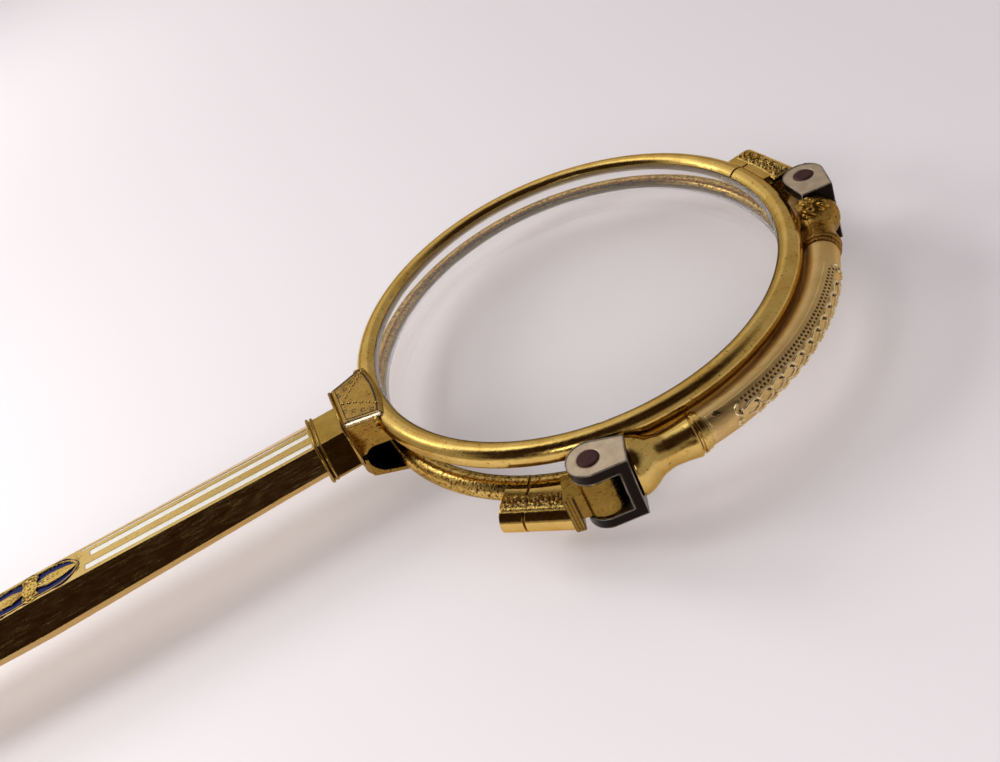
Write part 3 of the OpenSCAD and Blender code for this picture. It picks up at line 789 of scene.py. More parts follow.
@dataclass
class ReliefSheet:
    """A skin over a surface, chased in relief, with dirt left in its cuts."""

    name: str
    body: str
    place: Callable[[np.ndarray, np.ndarray, np.ndarray], np.ndarray]
    size: tuple[float, float]
    step: float
    strokes: list[Stroke] = field(default_factory=list)
    lift: float = 0.03
    tuck: float = 0.05
    border: float = 0.12
    roughness: float = 0.0
    dirt_below: float = -0.03
    bright_above: float = 0.06
    floor: float = 0.014
    seed: int = 1
    inside: Callable[[np.ndarray, np.ndarray], np.ndarray] | None = None
    only_marks: bool = False

    def depth(self, u: np.ndarray, v: np.ndarray) -> np.ndarray:
        """Give how far each place lies inside the sheet's border.

        Args:
            u: the grid's coordinate along the sheet.
            v: the grid's coordinate across the sheet.

        Returns:
            The distances in millimetres.
        """
        if self.inside:
            return self.inside(u, v)
        return np.minimum(np.minimum(u, self.size[0] - u), np.minimum(v, self.size[1] - v))

    def build(
        self, metal: bpy.types.Material, dirt: bpy.types.Material,
        bright: bpy.types.Material | None = None,
    ) -> None:
        """Make the sheet and let it move with its body.

        Args:
            metal: the material of the surface.
            dirt: the material of the cuts.
            bright: the material of the raised marks, where it differs from the surface's.
        """
        count_u = max(2, round(self.size[0] / self.step))
        count_v = max(2, round(self.size[1] / self.step))
        u, v = np.meshgrid(
            np.linspace(0, self.size[0], count_u + 1),
            np.linspace(0, self.size[1], count_v + 1), indexing="ij",
        )
        height = np.zeros_like(u)
        for stroke in self.strokes:
            stroke.cut(u, v, height)
        if self.roughness:
            height += np.random.default_rng(self.seed).normal(0, self.roughness, u.shape)
        share = np.clip(self.depth(u, v) / self.border, 0, 1)
        mean = (height[:-1, :-1] + height[1:, :-1] + height[1:, 1:] + height[:-1, 1:]) / 4
        # the cuts stop just above the surface under the sheet
        lowest = 0.0 if self.only_marks else self.floor - self.lift
        height = (self.lift + np.maximum(height, lowest)) * share - self.tuck * (1 - share)
        points = self.place(u, v, height).reshape(-1, 3) * MM
        rows = np.arange(count_u)[:, None] * (count_v + 1) + np.arange(count_v)[None, :]
        quads = np.stack([rows, rows + count_v + 1, rows + count_v + 2, rows + 1], -1)
        kept = np.ones(rows.shape, bool)
        if self.inside:
            kept = (share[:-1, :-1] > 0) | (share[1:, 1:] > 0)
        if self.only_marks:
            kept = np.maximum(height[:-1, :-1], height[1:, 1:]) > self.lift + 0.002
        mesh = bpy.data.meshes.new(self.name)
        mesh.from_pydata([tuple(p) for p in points], [], quads[kept].tolist())
        whole = share[:-1, :-1] > 0.99
        slots = ((mean < self.dirt_below) & whole).astype(np.int32)
        mesh.materials.append(metal)
        mesh.materials.append(dirt)
        if bright:
            mesh.materials.append(bright)
            slots[(mean > self.bright_above) & whole] = 2
        mesh.polygons.foreach_set("material_index", slots[kept])
        mesh.polygons.foreach_set("use_smooth", np.ones(len(mesh.polygons), dtype=bool))
        mesh.update()
        put_piece(self.name, mesh, self.body)


@dataclass
class BridgeEngraving:
    """Double row of punched dots and a band of bright cut scales round the bridge's outside."""

    first: float = -86.3
    last: float = -37.5
    plain: float = 2.1
    tube_r: float = 1.42
    band_low: float = -28.0
    band_high: float = 76.0
    dot_angle: float = 48.0
    dot_pitch: float = 0.39
    dot_width: float = 0.24
    dot_depth: float = -0.22
    row_gap: float = 0.15
    pitch: float = 1.32
    step: float = 0.05

    def length(self) -> float:
        """Give the engraving's length along the tube's outside."""
        return math.radians(self.last - self.first) * (BRIDGE_R + self.tube_r)

    def place(self, u: np.ndarray, v: np.ndarray, height: np.ndarray) -> np.ndarray:
        """Wrap the sheet round the tube.

        Args:
            u: millimetres along the tube.
            v: millimetres round the tube.
            height: millimetres above the tube.

        Returns:
            The places in the part's frame.
        """
        along = np.radians(self.first) + u / (BRIDGE_R + self.tube_r)
        around = np.radians(self.band_low) + v / self.tube_r
        reach = BRIDGE_R + (self.tube_r + height) * np.cos(around)
        return np.stack([
            LENS_X + reach * np.cos(along), reach * np.sin(along),
            BRIDGE_Z + (self.tube_r + height) * np.sin(around),
        ], -1)

    def scale(self, start: float, edge: float) -> list[Stroke]:
        """Cut one scale: bright edges, a hollow and a dark wedge at the tip.

        Args:
            start: where it starts along the tube.
            edge: where its back lies round the tube.

        Returns:
            The strokes.
        """
        tip = start + self.pitch
        low = start + self.pitch / 2
        back = ((start, edge - 0.16), (start + 0.6, edge), (tip - 0.12, edge - 0.05))
        point = ((tip - 0.1, edge - 0.03), (tip + 0.02, edge - 0.3), (tip - 0.2, edge - 0.66))
        belly = ((start + 0.1, edge - 0.7), (start + 0.55, edge - 0.84), (tip - 0.2, edge - 0.66))
        hollow = ((start + 0.3, edge - 0.34), (start + 0.85, edge - 0.42))
        wedge = ((tip - 0.34, edge - 0.16), (tip - 0.1, edge - 0.34))
        lobe = ((low, edge - 0.98), (low + 0.4, edge - 1.25), (low + 0.9, edge - 1.2))
        rise = ((low + 0.9, edge - 1.2), (low + 1.15, edge - 0.84))
        gap = ((low + 0.72, edge - 1.02), (low + 0.95, edge - 0.88))
        return [
            Stroke(back, 0.24, 0.15), Stroke(point, 0.22, 0.14), Stroke(belly, 0.18, 0.12),
            Stroke(hollow, 0.34, -0.045), Stroke(wedge, 0.17, -0.24), Stroke(lobe, 0.2, 0.13),
            Stroke(rise, 0.18, 0.13), Stroke(gap, 0.16, -0.2),
        ]

    def strokes(self) -> list[Stroke]:
        """Lay out the dots, the scales and the curled ends.

        Returns:
            The strokes.
        """
        length = self.length()
        dots = math.radians(self.dot_angle - self.band_low) * self.tube_r
        marks = []
        # two staggered rows of punched dots
        for i in range(int((length - self.plain - 1.4) / self.dot_pitch)):
            at = self.plain + 1.0 + self.dot_pitch * i
            for spot in ((at, dots + self.row_gap), (at + self.dot_pitch / 2, dots - self.row_gap)):
                marks.append(Stroke((spot,), self.dot_width, self.dot_depth))
        for i in range(int((length - self.plain - 1.5) / self.pitch)):
            marks += self.scale(self.plain + 0.8 + self.pitch * i, dots - 0.42)
        for end, turn in ((self.plain + 0.4, 1), (length - 0.5, -1)):
            over = arc((end, dots - 0.5), 0.45, 90, 90 + turn * 300, 14, 0.35)
            under = arc((end - 0.2 * turn, dots - 1.3), 0.34, -90, -90 - turn * 280, 12, 0.4)
            marks += [Stroke(over, 0.22, 0.15), Stroke(under, 0.2, 0.14)]
            marks.append(Stroke(((end, dots - 0.5),), 0.26, -0.2))
        # a cluster of punch marks where the ornament was started and given up
        for spot in ((0.3, 0.36), (0.46, 0.28), (0.62, 0.34), (0.5, 0.44), (0.72, 0.24)):
            marks.append(Stroke(((spot[0] + 0.4, dots + spot[1]),), 0.26, self.dot_depth))
        return marks

    def build(self, bench: Bench) -> None:
        """Make the engraving.

        Args:
            bench: gives the materials.
        """
        width = math.radians(self.band_high - self.band_low) * self.tube_r
        sheet = ReliefSheet(
            "bridge_engraving", "bridge", self.place, (self.length(), width), self.step,
            self.strokes(), lift=0.05, tuck=0.03, dirt_below=-0.06,
        )
        sheet.build(bench.material(TUBE_PLATE), bench.material(TARNISH), bench.material(CUT_GOLD))


@dataclass
class PlateChasing:
    """Thumb plate's worn top: two beaded lines in a V, scrolls outside them, a plain field."""

    back_s: float = -21.9
    front_s: float = -19.04
    bow: float = 0.43
    bow_half: float = 3.6
    half_back: float = 2.5
    half_front: float = 3.5
    apex: tuple[float, float] = (-21.65, -0.05)
    left_end: tuple[float, float] = (-18.9, 3.0)
    right_end: tuple[float, float] = (-18.9, -2.3)
    sag: float = 0.25
    bevel_start: tuple[float, float] = (-22.1, -2.86)
    bevel_end: tuple[float, float] = (-18.95, -3.77)
    bevel_width: float = 0.4
    bevel_crown: float = 0.012
    step: float = 0.045

    def inside(self, u: np.ndarray, v: np.ndarray) -> np.ndarray:
        """Give how far each place lies inside the plate's flat top.

        Args:
            u: millimetres from the plate's back towards the lens.
            v: millimetres across the plate.

        Returns:
            The distances in millimetres.
        """
        s, y = u + self.back_s, v - self.half_front
        front = self.front_s + self.bow * (1 - (y / self.bow_half) ** 2) - s
        slope = (self.half_front - self.half_back) / (self.front_s - self.back_s)
        side = self.half_back + slope * (s - self.back_s) - np.abs(y)
        return np.minimum(np.minimum(u, front), side)

    def place(self, u: np.ndarray, v: np.ndarray, height: np.ndarray) -> np.ndarray:
        """Lay the sheet on the plate."""
        return np.stack([LENS_X + self.back_s + u, v - self.half_front, PLATE_Z + height], -1)

    def line(self, points: tuple, width: float, rise: float) -> Stroke:
        """Draw one mark in the plate's own millimetres.

        Args:
            points: places as distance from the lens axis and distance across.
            width: the mark's width.
            rise: its height, below nought for a cut.

        Returns:
            The stroke on the sheet.
        """
        path = tuple((s - self.back_s, y + self.half_front) for s, y in points)
        return Stroke(path, width, rise)

    def leg(self, end: tuple[float, float], sag: float) -> list[tuple[float, float]]:
        """Follow one line of the V.

        Args:
            end: where it ends, at the lens side.
            sag: how far its middle leaves the straight line.

        Returns:
            The places along it.
        """
        places = []
        for i in range(17):
            share = i / 16
            s = self.apex[0] + (end[0] - self.apex[0]) * share
            y = self.apex[1] + (end[1] - self.apex[1]) * share + sag * math.sin(math.pi * share)
            places.append((s, y))
        return places

    def beads(self) -> list[Stroke]:
        """Lay out the beads of the V, in pairs with a gap between the pairs.

        Returns:
            The strokes.
        """
        legs = self.leg(self.left_end, 0.0), self.leg(self.right_end, self.sag)
        return [
            self.line((place,), 0.34, 0.13)
            for leg in legs for i, place in enumerate(leg) if i % 3 < 2
        ]

    def strokes(self) -> list[Stroke]:
        """Lay out the cuts along the V, the curls, the border and the shading.

        Returns:
            The strokes.
        """
        marks = []
        for side, end, sag, rise in (
            (1, self.left_end, 0.0, -0.034), (-1, self.right_end, self.sag, -0.03),
        ):
            beside = tuple((s, y + 0.16 * side) for s, y in self.leg(end, sag))
            marks.append(self.line(beside, 0.09, rise))
            for i in range(4):
                s, y = -21.55 + 0.72 * i, side * (1.2 + 0.52 * i)
                curl = arc((s, y), 0.28, 90 * side, 90 * side + side * 300, 12, 0.25)
                tail = ((s - 0.36, y + 0.2 * side), (s - 0.1, y + 0.48 * side))
                marks.append(self.line(curl, 0.12, -0.07))
                marks.append(self.line(tail, 0.06, -0.04))
                marks.append(self.line(((s + 0.3, y + 0.3 * side),), 0.12, 0.05))
        # dark worn line along the border
        back, front = self.back_s + 0.08, self.front_s + 0.02
        rim = [
            (self.front_s + self.bow * (1 - (y / self.bow_half) ** 2) - 0.09, y)
            for y in np.linspace(-3.3, 3.3, 12)
        ]
        border = [(back, -self.half_back + 0.1), (front, -self.half_front + 0.12)] + rim
        border += [(front, self.half_front - 0.12), (back, self.half_back - 0.1), border[0]]
        marks.append(self.line(tuple(border), 0.34, -0.05))
        for i in range(16):
            s = -21.8 + 0.17 * i
            marks.append(self.line(
                ((s, -2.05 - 0.055 * i), (s + 0.1, -2.28 - 0.055 * i)), 0.05, -0.035,
            ))
            marks.append(self.line(
                ((s, 2.05 + 0.055 * i), (s + 0.1, 2.28 + 0.055 * i)), 0.05, -0.035,
            ))
        return marks

    def build(self, bench: Bench) -> None:
        """Make the chased top of the plate, its beads and its rubbed bevel.

        Args:
            bench: gives the materials.
        """
        size = (self.front_s + self.bow + 0.02 - self.back_s, 2 * self.half_front)
        sheet = ReliefSheet(
            "thumb_plate_chasing", "handle", self.place, size, self.step, self.strokes(),
            lift=0.03, tuck=0.02, border=0.05, roughness=0.001, dirt_below=-0.028,
            inside=self.inside,
        )
        sheet.build(bench.material(THUMB_PLATE), bench.material(TARNISH))
        beads = ReliefSheet(
            "thumb_plate_beads", "handle", self.place, size, self.step, self.beads(),
            lift=0.0, tuck=0.0, only_marks=True,
        )
        beads.build(bench.material(BARREL_PLATE), bench.material(BARREL_PLATE))
        run = np.array(self.bevel_end) - np.array(self.bevel_start)
        edge = ReliefSheet(
            "plate_rubbed_edge", "handle", self.bevel,
            (float(np.linalg.norm(run)), self.bevel_width), 0.04, lift=0.0, tuck=0.0, border=0.02,
        )
        edge.build(bench.material(RUBBED_EDGE), bench.material(RUBBED_EDGE))

    def bevel(self, u: np.ndarray, v: np.ndarray, height: np.ndarray) -> np.ndarray:
        """Lay a strip along the plate's near bevel, slightly crowned in its middle.

        Args:
            u: millimetres along the bevel.
            v: millimetres up the bevel.
            height: millimetres above it.

        Returns:
            The places in the part's frame.
        """
        start, end = np.array(self.bevel_start), np.array(self.bevel_end)
        run = (end - start) / np.linalg.norm(end - start)
        inward = np.array([-run[1], run[0]])
        share = v / self.bevel_width
        crown = self.bevel_crown * np.sin(np.pi * share) + height
        spot = start + run * u[..., None] + inward * (0.21 * share - crown - 0.02)[..., None]
        z = PLATE_Z - 0.29 + 0.3 * share + crown * 0.7
        return np.concatenate([spot + np.array([LENS_X, 0.0]), z[..., None]], -1)


@dataclass
class MedallionChasing:
    """Raised gilt lines round the blue cells, veins on the leaves and a curled centre."""

    middle_s: float = -51.9
    top_z: float = 1.775
    fall: float = 0.021
    half_length: float = 4.9
    half_width: float = 1.62
    step: float = 0.045
    frame: tuple = ((0.5, 1.38), (1.8, 1.42), (3.0, 1.28), (3.9, 0.86), (4.35, 0.3), (4.45, 0.0))
    leaf: tuple = ((0.7, 0.2), (1.6, 0.55), (2.6, 0.52), (3.6, 0.2), (4.2, 0.0))

    def place(self, u: np.ndarray, v: np.ndarray, height: np.ndarray) -> np.ndarray:
        """Lay the sheet on the handle's swollen top.

        Args:
            u: millimetres along the handle.
            v: millimetres across the handle.
            height: millimetres above its top.

        Returns:
            The places in the part's frame.
        """
        along = u - self.half_length
        return np.stack([
            LENS_X + self.middle_s + along, v - self.half_width,
            self.top_z - self.fall * np.abs(along) + height,
        ], -1)

    def line(
        self, points: tuple, width: float, rise: float, side: int = 1, turn: int = 1
    ) -> Stroke:
        """Draw one raised line from the medallion's middle.

        Args:
            points: places along and across the handle.
            width: the line's width.
            rise: its height.
            side: -1 mirrors it along the handle.
            turn: -1 mirrors it across the handle.

        Returns:
            The stroke on the sheet.
        """
        path = tuple(
            (a * side + self.half_length, y * turn + self.half_width) for a, y in points
        )
        return Stroke(path, width, rise)

    def strokes(self) -> list[Stroke]:
        """Lay out the frame, the leaves' veins and the rosette.

        Returns:
            The strokes.
        """
        marks = []
        for side in (1, -1):
            for turn in (1, -1):
                marks.append(self.line(self.frame, 0.17, 0.07, side, turn))
                marks.append(self.line(self.leaf, 0.14, 0.08, side, turn))
                for i in range(5):
                    a = 1.0 + 0.48 * i
                    marks.append(self.line(((a, 0.04), (a + 0.34, 0.36)), 0.16, 0.09, side, turn))
                curl = arc((0.42 * side, 0.95 * turn), 0.3, 0, 300 * side * turn, 12, 0.4)
                marks.append(self.line(curl, 0.18, 0.12))
                marks.append(self.line(((0.1 * side, 1.32 * turn),), 0.26, 0.12))
                marks.append(self.line(((4.55, 0.52), (4.3, 0.85)), 0.12, 0.06, side, turn))
            marks.append(self.line(((0.5, 0.0), (4.1, 0.0)), 0.13, 0.1, side))
        for i in range(10):
            marks.append(self.line(arc((0, 0), 0.52, 36 * i, 36 * i + 1, 1), 0.26, 0.13))
        marks.append(self.line(((0.0, 0.0),), 0.5, 0.14))
        return marks

    def build(self, bench: Bench) -> None:
        """Make the chased lines.

        Args:
            bench: gives the materials.
        """
        sheet = ReliefSheet(
            "medallion_chasing", "handle", self.place, (2 * self.half_length, 2 * self.half_width),
            self.step, self.strokes(), lift=0.0, tuck=0.0, border=0.05, only_marks=True,
        )
        sheet.build(bench.material(MEDALLION_PLATE), bench.material(MEDALLION_PLATE))


@dataclass
class ScrollBand:
    """Crusted scrollwork over the block that joins a closing barrel to its rim."""

    name: str
    body: str
    pin_angle: float
    turn: int
    axis_z: float
    top: float
    length: float = 6.0
    ring_r: float = RIM_R + 0.3 + 1.13
    barrel_r: float = 1.13
    split: float = 17.2
    start: float = -4.1
    flat: float = 1.15
    wrap: float = 0.42
    pitch: float = 0.92
    step: float = 0.05

    def place(self, u: np.ndarray, v: np.ndarray, height: np.ndarray) -> np.ndarray:
        """Lay the sheet from the rim's wire over the block's flat top and down over the barrel.

        Args:
            u: millimetres along the barrel.
            v: millimetres outward from the wire.
            height: millimetres above the block.

        Returns:
            The places in the part's frame.
        """
        outward, along = ways(self.pin_angle + self.turn * self.split, self.turn)
        lean = np.clip(v - self.flat, 0, None) / self.barrel_r
        flat_top = np.clip(1 - lean / 0.5, 0, 1)
        reach = self.barrel_r + (self.top - self.barrel_r) * flat_top + height
        across = np.minimum(v - self.flat, 0)
        # the block runs straight while the rim curves away, so the inner edge follows the wire
        spot = self.start + u
        inner = self.ring_r - self.flat
        sag = inner - np.sqrt(inner ** 2 - spot ** 2)
        across = across * (1 + sag / self.flat)
        middle = np.array([LENS_X, 0, self.axis_z]) + outward * self.ring_r
        side = (across + reach * np.sin(lean))[..., None]
        high = (reach * np.cos(lean))[..., None]
        return middle + along * spot[..., None] + outward * side + UP * high

    def strokes(self) -> list[Stroke]:
        """Lay out a running scroll with curls on both sides and beads between them.

        Returns:
            The strokes.
        """
        middle = self.flat * 0.6
        ground = ((0.2, middle + 0.1), (self.length - 0.2, middle + 0.1))
        marks = [Stroke(ground, self.flat * 1.7, -0.05)]
        for i in range(int((self.length - 0.3) / self.pitch)):
            at = 0.6 + self.pitch * i
            side = 1 if i % 2 else -1
            curl = arc((at, middle + side * 0.12), 0.42, -90 * side, side * 250, 16, 0.25)
            stem = ((at - 0.42, middle - side * 0.5), (at + 0.05, middle - side * 0.3))
            spur = ((at + 0.4, middle + side * 0.44), (at + 0.62, middle + side * 0.2))
            marks += [Stroke(curl, 0.23, 0.16), Stroke(stem, 0.2, 0.13)]
            marks.append(Stroke(((at + 0.46, middle - side * 0.34),), 0.34, 0.17))
            marks.append(Stroke(spur, 0.2, 0.12))
        return marks

    def build(self, bench: Bench) -> None:
        """Make the band.

        Args:
            bench: gives the materials.
        """
        sheet = ReliefSheet(
            self.name, self.body, self.place, (self.length, self.flat + self.wrap), self.step,
            self.strokes(), lift=0.07, tuck=0.06, border=0.14, roughness=0.006, dirt_below=-0.04,
            seed=4,
        )
        sheet.build(
            bench.material(CRUST_PLATE), bench.material(TARNISH), bench.material(BARREL_PLATE),
        )


@dataclass
class SpoolSkin:
    """Smooth turned surface of a spool: a bell at the clevis, a waist, a flare to the collar."""

    name: str
    finish: GoldPlate
    middle_angle: float
    turn: int
    run: float
    bell_r: float = 2.3
    waist_r: float = 1.35
    flare_r: float = 1.58
    spread: float = 224.0
    step: float = 0.07

    def place(self, u: np.ndarray, v: np.ndarray, height: np.ndarray) -> np.ndarray:
        """Turn the profile round the spool's axis.

        Args:
            u: millimetres along the spool from the clevis.
            v: millimetres round its waist.
            height: millimetres above the profile.

        Returns:
            The places in the part's frame.
        """
        outward, along = ways(self.middle_angle, self.turn)
        first, last = -1.0, self.run + 1.4
        stations = np.array([
            first, 0.5, 0.26 * self.run, 0.4 * self.run, 0.6 * self.run, 0.78 * self.run,
            0.94 * self.run, self.run + 0.2, last,
        ])
        gap = self.bell_r - self.waist_r
        radii = np.array([
            self.bell_r, self.bell_r, self.bell_r - 0.3 * gap, self.waist_r + 0.25 * gap,
            self.waist_r, self.waist_r + 0.05, self.waist_r + 0.14, self.flare_r,
            self.flare_r + 0.1,
        ])
        # the profile's corners are rounded off as a turning tool leaves them
        fine = np.linspace(first, last, 400)
        bell = np.exp(-np.linspace(-2.2, 2.2, 61) ** 2)
        steps = np.pad(np.interp(fine, stations, radii), 30, mode="edge")
        smooth = np.convolve(steps, bell / bell.sum(), "valid")
        radius = (np.interp(u, fine, smooth) + height)[..., None]
        around = np.radians(v / self.waist_r * 57.3 - self.spread / 2)[..., None]
        middle = np.array([LENS_X, 0.0, BRIDGE_Z]) + outward * BRIDGE_R
        start = (u - self.run / 2 - 0.35)[..., None]
        side, high = outward * radius * np.cos(around), UP * radius * np.sin(around)
        return middle + along * start + side + high

    def build(self, bench: Bench) -> None:
        """Make the skin.

        Args:
            bench: gives the materials.
        """
        size = (self.run + 0.42, math.radians(self.spread) * self.waist_r)
        sheet = ReliefSheet(
            self.name, "bridge", self.place, size, self.step, lift=0.035, tuck=0.12, border=0.1,
        )
        sheet.build(bench.material(self.finish), bench.material(self.finish))


@dataclass
class HingeTrim:
    """Rubbed arrises of a clevis, its knuckle's turned face, and dirt in the foot's flutes."""

    side: str
    knuckle_body: str
    pin_angle: float
    turn: int
    foot_low: float
    foot_high: float
    ring_r: float = 22.1
    ear_r: float = 1.7
    back_y: float = 2.7
    wall_y: float = 1.85
    half_h: float = 2.8
    slot_h: float = 1.9
    cheek_x: float = 1.4
    back_x: float = 1.28
    line_r: float = 0.055
    flute_x: float = 1.18
    flutes_y: tuple[float, ...] = (-2.03, -2.265, -2.503, -2.735)
    knuckle_r: float = 1.585
    knuckle_half_h: float = 1.8
    face_start: float = 62.0
    face_spread: float = 165.0

    def spot(self, x: float, y: float, z: float) -> np.ndarray:
        """Turn a place in the hinge's own frame into one in the part's frame.

        Args:
            x: millimetres outward from the pin.
            y: millimetres from the pin towards the bridge.
            z: millimetres above the bridge's middle plane.

        Returns:
            The place.
        """
        outward, along = ways(self.pin_angle, self.turn)
        return np.array([LENS_X, 0.0, BRIDGE_Z + z]) + outward * (self.ring_r + x) + along * y

    def rods(self, name: str, body: str, paths: list, material: bpy.types.Material) -> None:
        """Lay thin six-sided rods along paths.

        Args:
            name: the piece's name.
            body: the body that it rides.
            paths: lists of places in the hinge's frame.
            material: their material.
        """
        shape = bmesh.new()
        around = [math.radians(60 * k) for k in range(6)]
        for path in paths:
            line = [Vector(self.spot(*place)) for place in path]
            rings = []
            for i, middle in enumerate(line):
                ahead = (line[min(i + 1, len(line) - 1)] - line[max(i - 1, 0)]).normalized()
                upright = abs(ahead.z) > 0.9
                aside = ahead.orthogonal() if upright else ahead.cross(Vector((0, 0, 1)))
                first = aside.normalized()
                second = ahead.cross(first)
                rings.append([
                    shape.verts.new(
                        (middle + self.line_r * (first * math.cos(a) + second * math.sin(a))) * MM
                    ) for a in around
                ])
            for one, two in zip(rings, rings[1:]):
                for k in range(6):
                    shape.faces.new((one[k], one[(k + 1) % 6], two[(k + 1) % 6], two[k]))
            shape.faces.new(rings[0][::-1])
            shape.faces.new(rings[-1])
        put_shape(name, shape, material, body)

    def outline(self, z: float, back: float, close: bool) -> list[tuple[float, float, float]]:
        """Follow the ear's outline at a height, from one cheek round the nose to the other.

        Args:
            z: the height.
            back: how far the cheeks run towards the bridge.
            close: also cross from the last cheek to the first.

        Returns:
            The places in the hinge's frame.
        """
        inset = 0.03
        r = self.ear_r - inset
        cheek = self.ear_r - (self.ear_r - 1.3) * back / self.back_y - inset
        turns = [math.radians(d) for d in range(0, -181, -12)]
        nose = [(r * math.cos(a), r * math.sin(a), z) for a in turns]
        path = [(cheek, back - inset, z)] + nose + [(-cheek, back - inset, z)]
        return path + [path[0]] if close else path

    def face(self, u: np.ndarray, v: np.ndarray, height: np.ndarray) -> np.ndarray:
        """Wrap a sheet round the knuckle.

        Args:
            u: millimetres round the knuckle.
            v: millimetres up the knuckle.
            height: millimetres above its round.

        Returns:
            The places in the part's frame.
        """
        around = u / self.knuckle_r - math.radians(self.face_start)
        reach = self.knuckle_r + height
        x, y = reach * np.cos(around), reach * np.sin(around)
        outward, along = ways(self.pin_angle, self.turn)
        base = np.array([LENS_X, 0.0, BRIDGE_Z - self.knuckle_half_h]) + outward * self.ring_r
        return base + outward * x[..., None] + along * y[..., None] + UP * v[..., None]

    def build(self, bench: Bench) -> None:
        """Make the arrises, the dirt lines and the knuckle's face.

        Args:
            bench: gives the materials.
        """
        high, slot, back = self.half_h, self.slot_h, self.back_y - 0.02
        paths = [self.outline(z, self.back_y, True) for z in (high, -high)]
        paths += [self.outline(z, self.wall_y, False) for z in (slot, -slot)]
        for x in (self.cheek_x, -self.cheek_x):
            paths.append([(x, self.wall_y, -slot), (x, self.wall_y, slot)])
        for x in (self.back_x, -self.back_x):
            paths.append([(x, back, -high), (x, back, high)])
        self.rods(f"{self.side}_clevis_arrises", "bridge", paths, bench.material(ARRIS_STEEL))
        grooves = [
            [(self.flute_x, y, self.foot_low), (self.flute_x, y, self.foot_high)]
            for y in self.flutes_y
        ]
        self.rods(f"{self.side}_foot_dirt", self.knuckle_body, grooves, bench.material(TARNISH))
        size = (math.radians(self.face_spread) * self.knuckle_r, 2 * self.knuckle_half_h)
        # the knuckle's face takes the knuckles' darkened gold, which is painted shade
        sheet = ReliefSheet(
            f"{self.side}_knuckle_face", self.knuckle_body, self.face, size, 0.09,
            lift=0.02, tuck=0.16, border=0.14,
        )
        sheet.build(bench.material(KNUCKLE_SHADED_PLATE), bench.material(KNUCKLE_SHADED_PLATE))


@dataclass
class SolderFillets:
    """Lumps and beads of solder where pieces were joined by hand."""

    # angle about the lens axis, distance from it, height and half size of each lump
    saddle: tuple = ((-169.3, 19.8, 2.1, 0.36), (-168.8, 20.0, 1.6, 0.24))
    barrel: tuple = ((9.8, 21.2, 2.2), (6.9, 21.3, 2.25), (4.3, 21.25, 2.15), (1.8, 21.3, 2.1))
    barrel_size: tuple[float, float, float] = (0.42, 0.42, 0.28)
    spool: tuple = ((-17.9, 21.3, 1.8), (-18.9, 22.2, 1.45), (-20.2, 21.0, 1.4))
    spool_size: tuple[float, float, float] = (0.6, 0.6, 0.5)
    foot: tuple = ((-113.8, 20.8, -1.75), (-112.6, 20.8, -1.75))
    foot_size: tuple[float, float, float] = (0.4, 0.5, 0.45)

    def lump(
        self, bench: Bench, name: str, body: str, where: tuple[float, float, float],
        size: tuple[float, float, float], seed: int, angle: float | None = None,
    ) -> None:
        """Run one bead of solder into a joint.

        Args:
            bench: gives the materials.
            name: the piece's name.
            body: the body that it moves with.
            where: its angle about the lens axis, its distance from it and its height.
            size: its half sizes in millimetres.
            seed: picks its shape.
            angle: its own turn in degrees, where it isn't that of its place.
        """
        turn = math.radians(where[0])
        spot = (LENS_X + where[1] * math.cos(turn), where[1] * math.sin(turn), where[2])
        shape = bmesh.new()
        bmesh.ops.create_icosphere(shape, subdivisions=4, radius=1.0)
        rng = np.random.default_rng(seed)
        waves = rng.uniform(2.0, 5.0, (5, 3))
        phases = rng.uniform(0, 6.28, 5)
        for vertex in shape.verts:
            ball = np.array(vertex.co)
            swell = 1 + sum(0.07 * math.sin(float(w @ ball) + p) for w, p in zip(waves, phases))
            vertex.co = Vector(ball * swell)
        own = math.radians(where[0] if angle is None else angle)
        turned = Matrix.Rotation(own, 4, "Z") @ Matrix.Diagonal((*size, 1.0))
        bmesh.ops.transform(shape, matrix=turned, verts=shape.verts)
        bmesh.ops.translate(shape, vec=Vector(spot), verts=shape.verts)
        bmesh.ops.scale(shape, vec=Vector((MM, MM, MM)), verts=shape.verts)
        put_shape(name, shape, bench.material(SOLDER_GILT), body)

    def build(self, bench: Bench) -> None:
        """Run the solder in at the saddle, the closing barrel and the hinges.

        Args:
            bench: gives the materials.
        """
        for i, (angle, radius, z, half) in enumerate(self.saddle):
            size = (half, half, half)
            near, far = (angle, radius, z), (-angle - 0.6, radius, z)
            self.lump(bench, f"saddle_solder_{i + 1}", "handle", near, size, i)
            self.lump(bench, f"saddle_solder_{i + 3}", "handle", far, size, i + 9, -angle)
        for name, body, places, size, seed in (
            ("front_barrel_solder", "handle", self.barrel, self.barrel_size, 20),
            ("front_spool_solder", "bridge", self.spool, self.spool_size, 30),
            ("rear_foot_solder", "rear_eyepiece", self.foot, self.foot_size, 40),
        ):
            for i, where in enumerate(places):
                self.lump(bench, f"{name}_{i + 1}", body, where, size, seed + i)


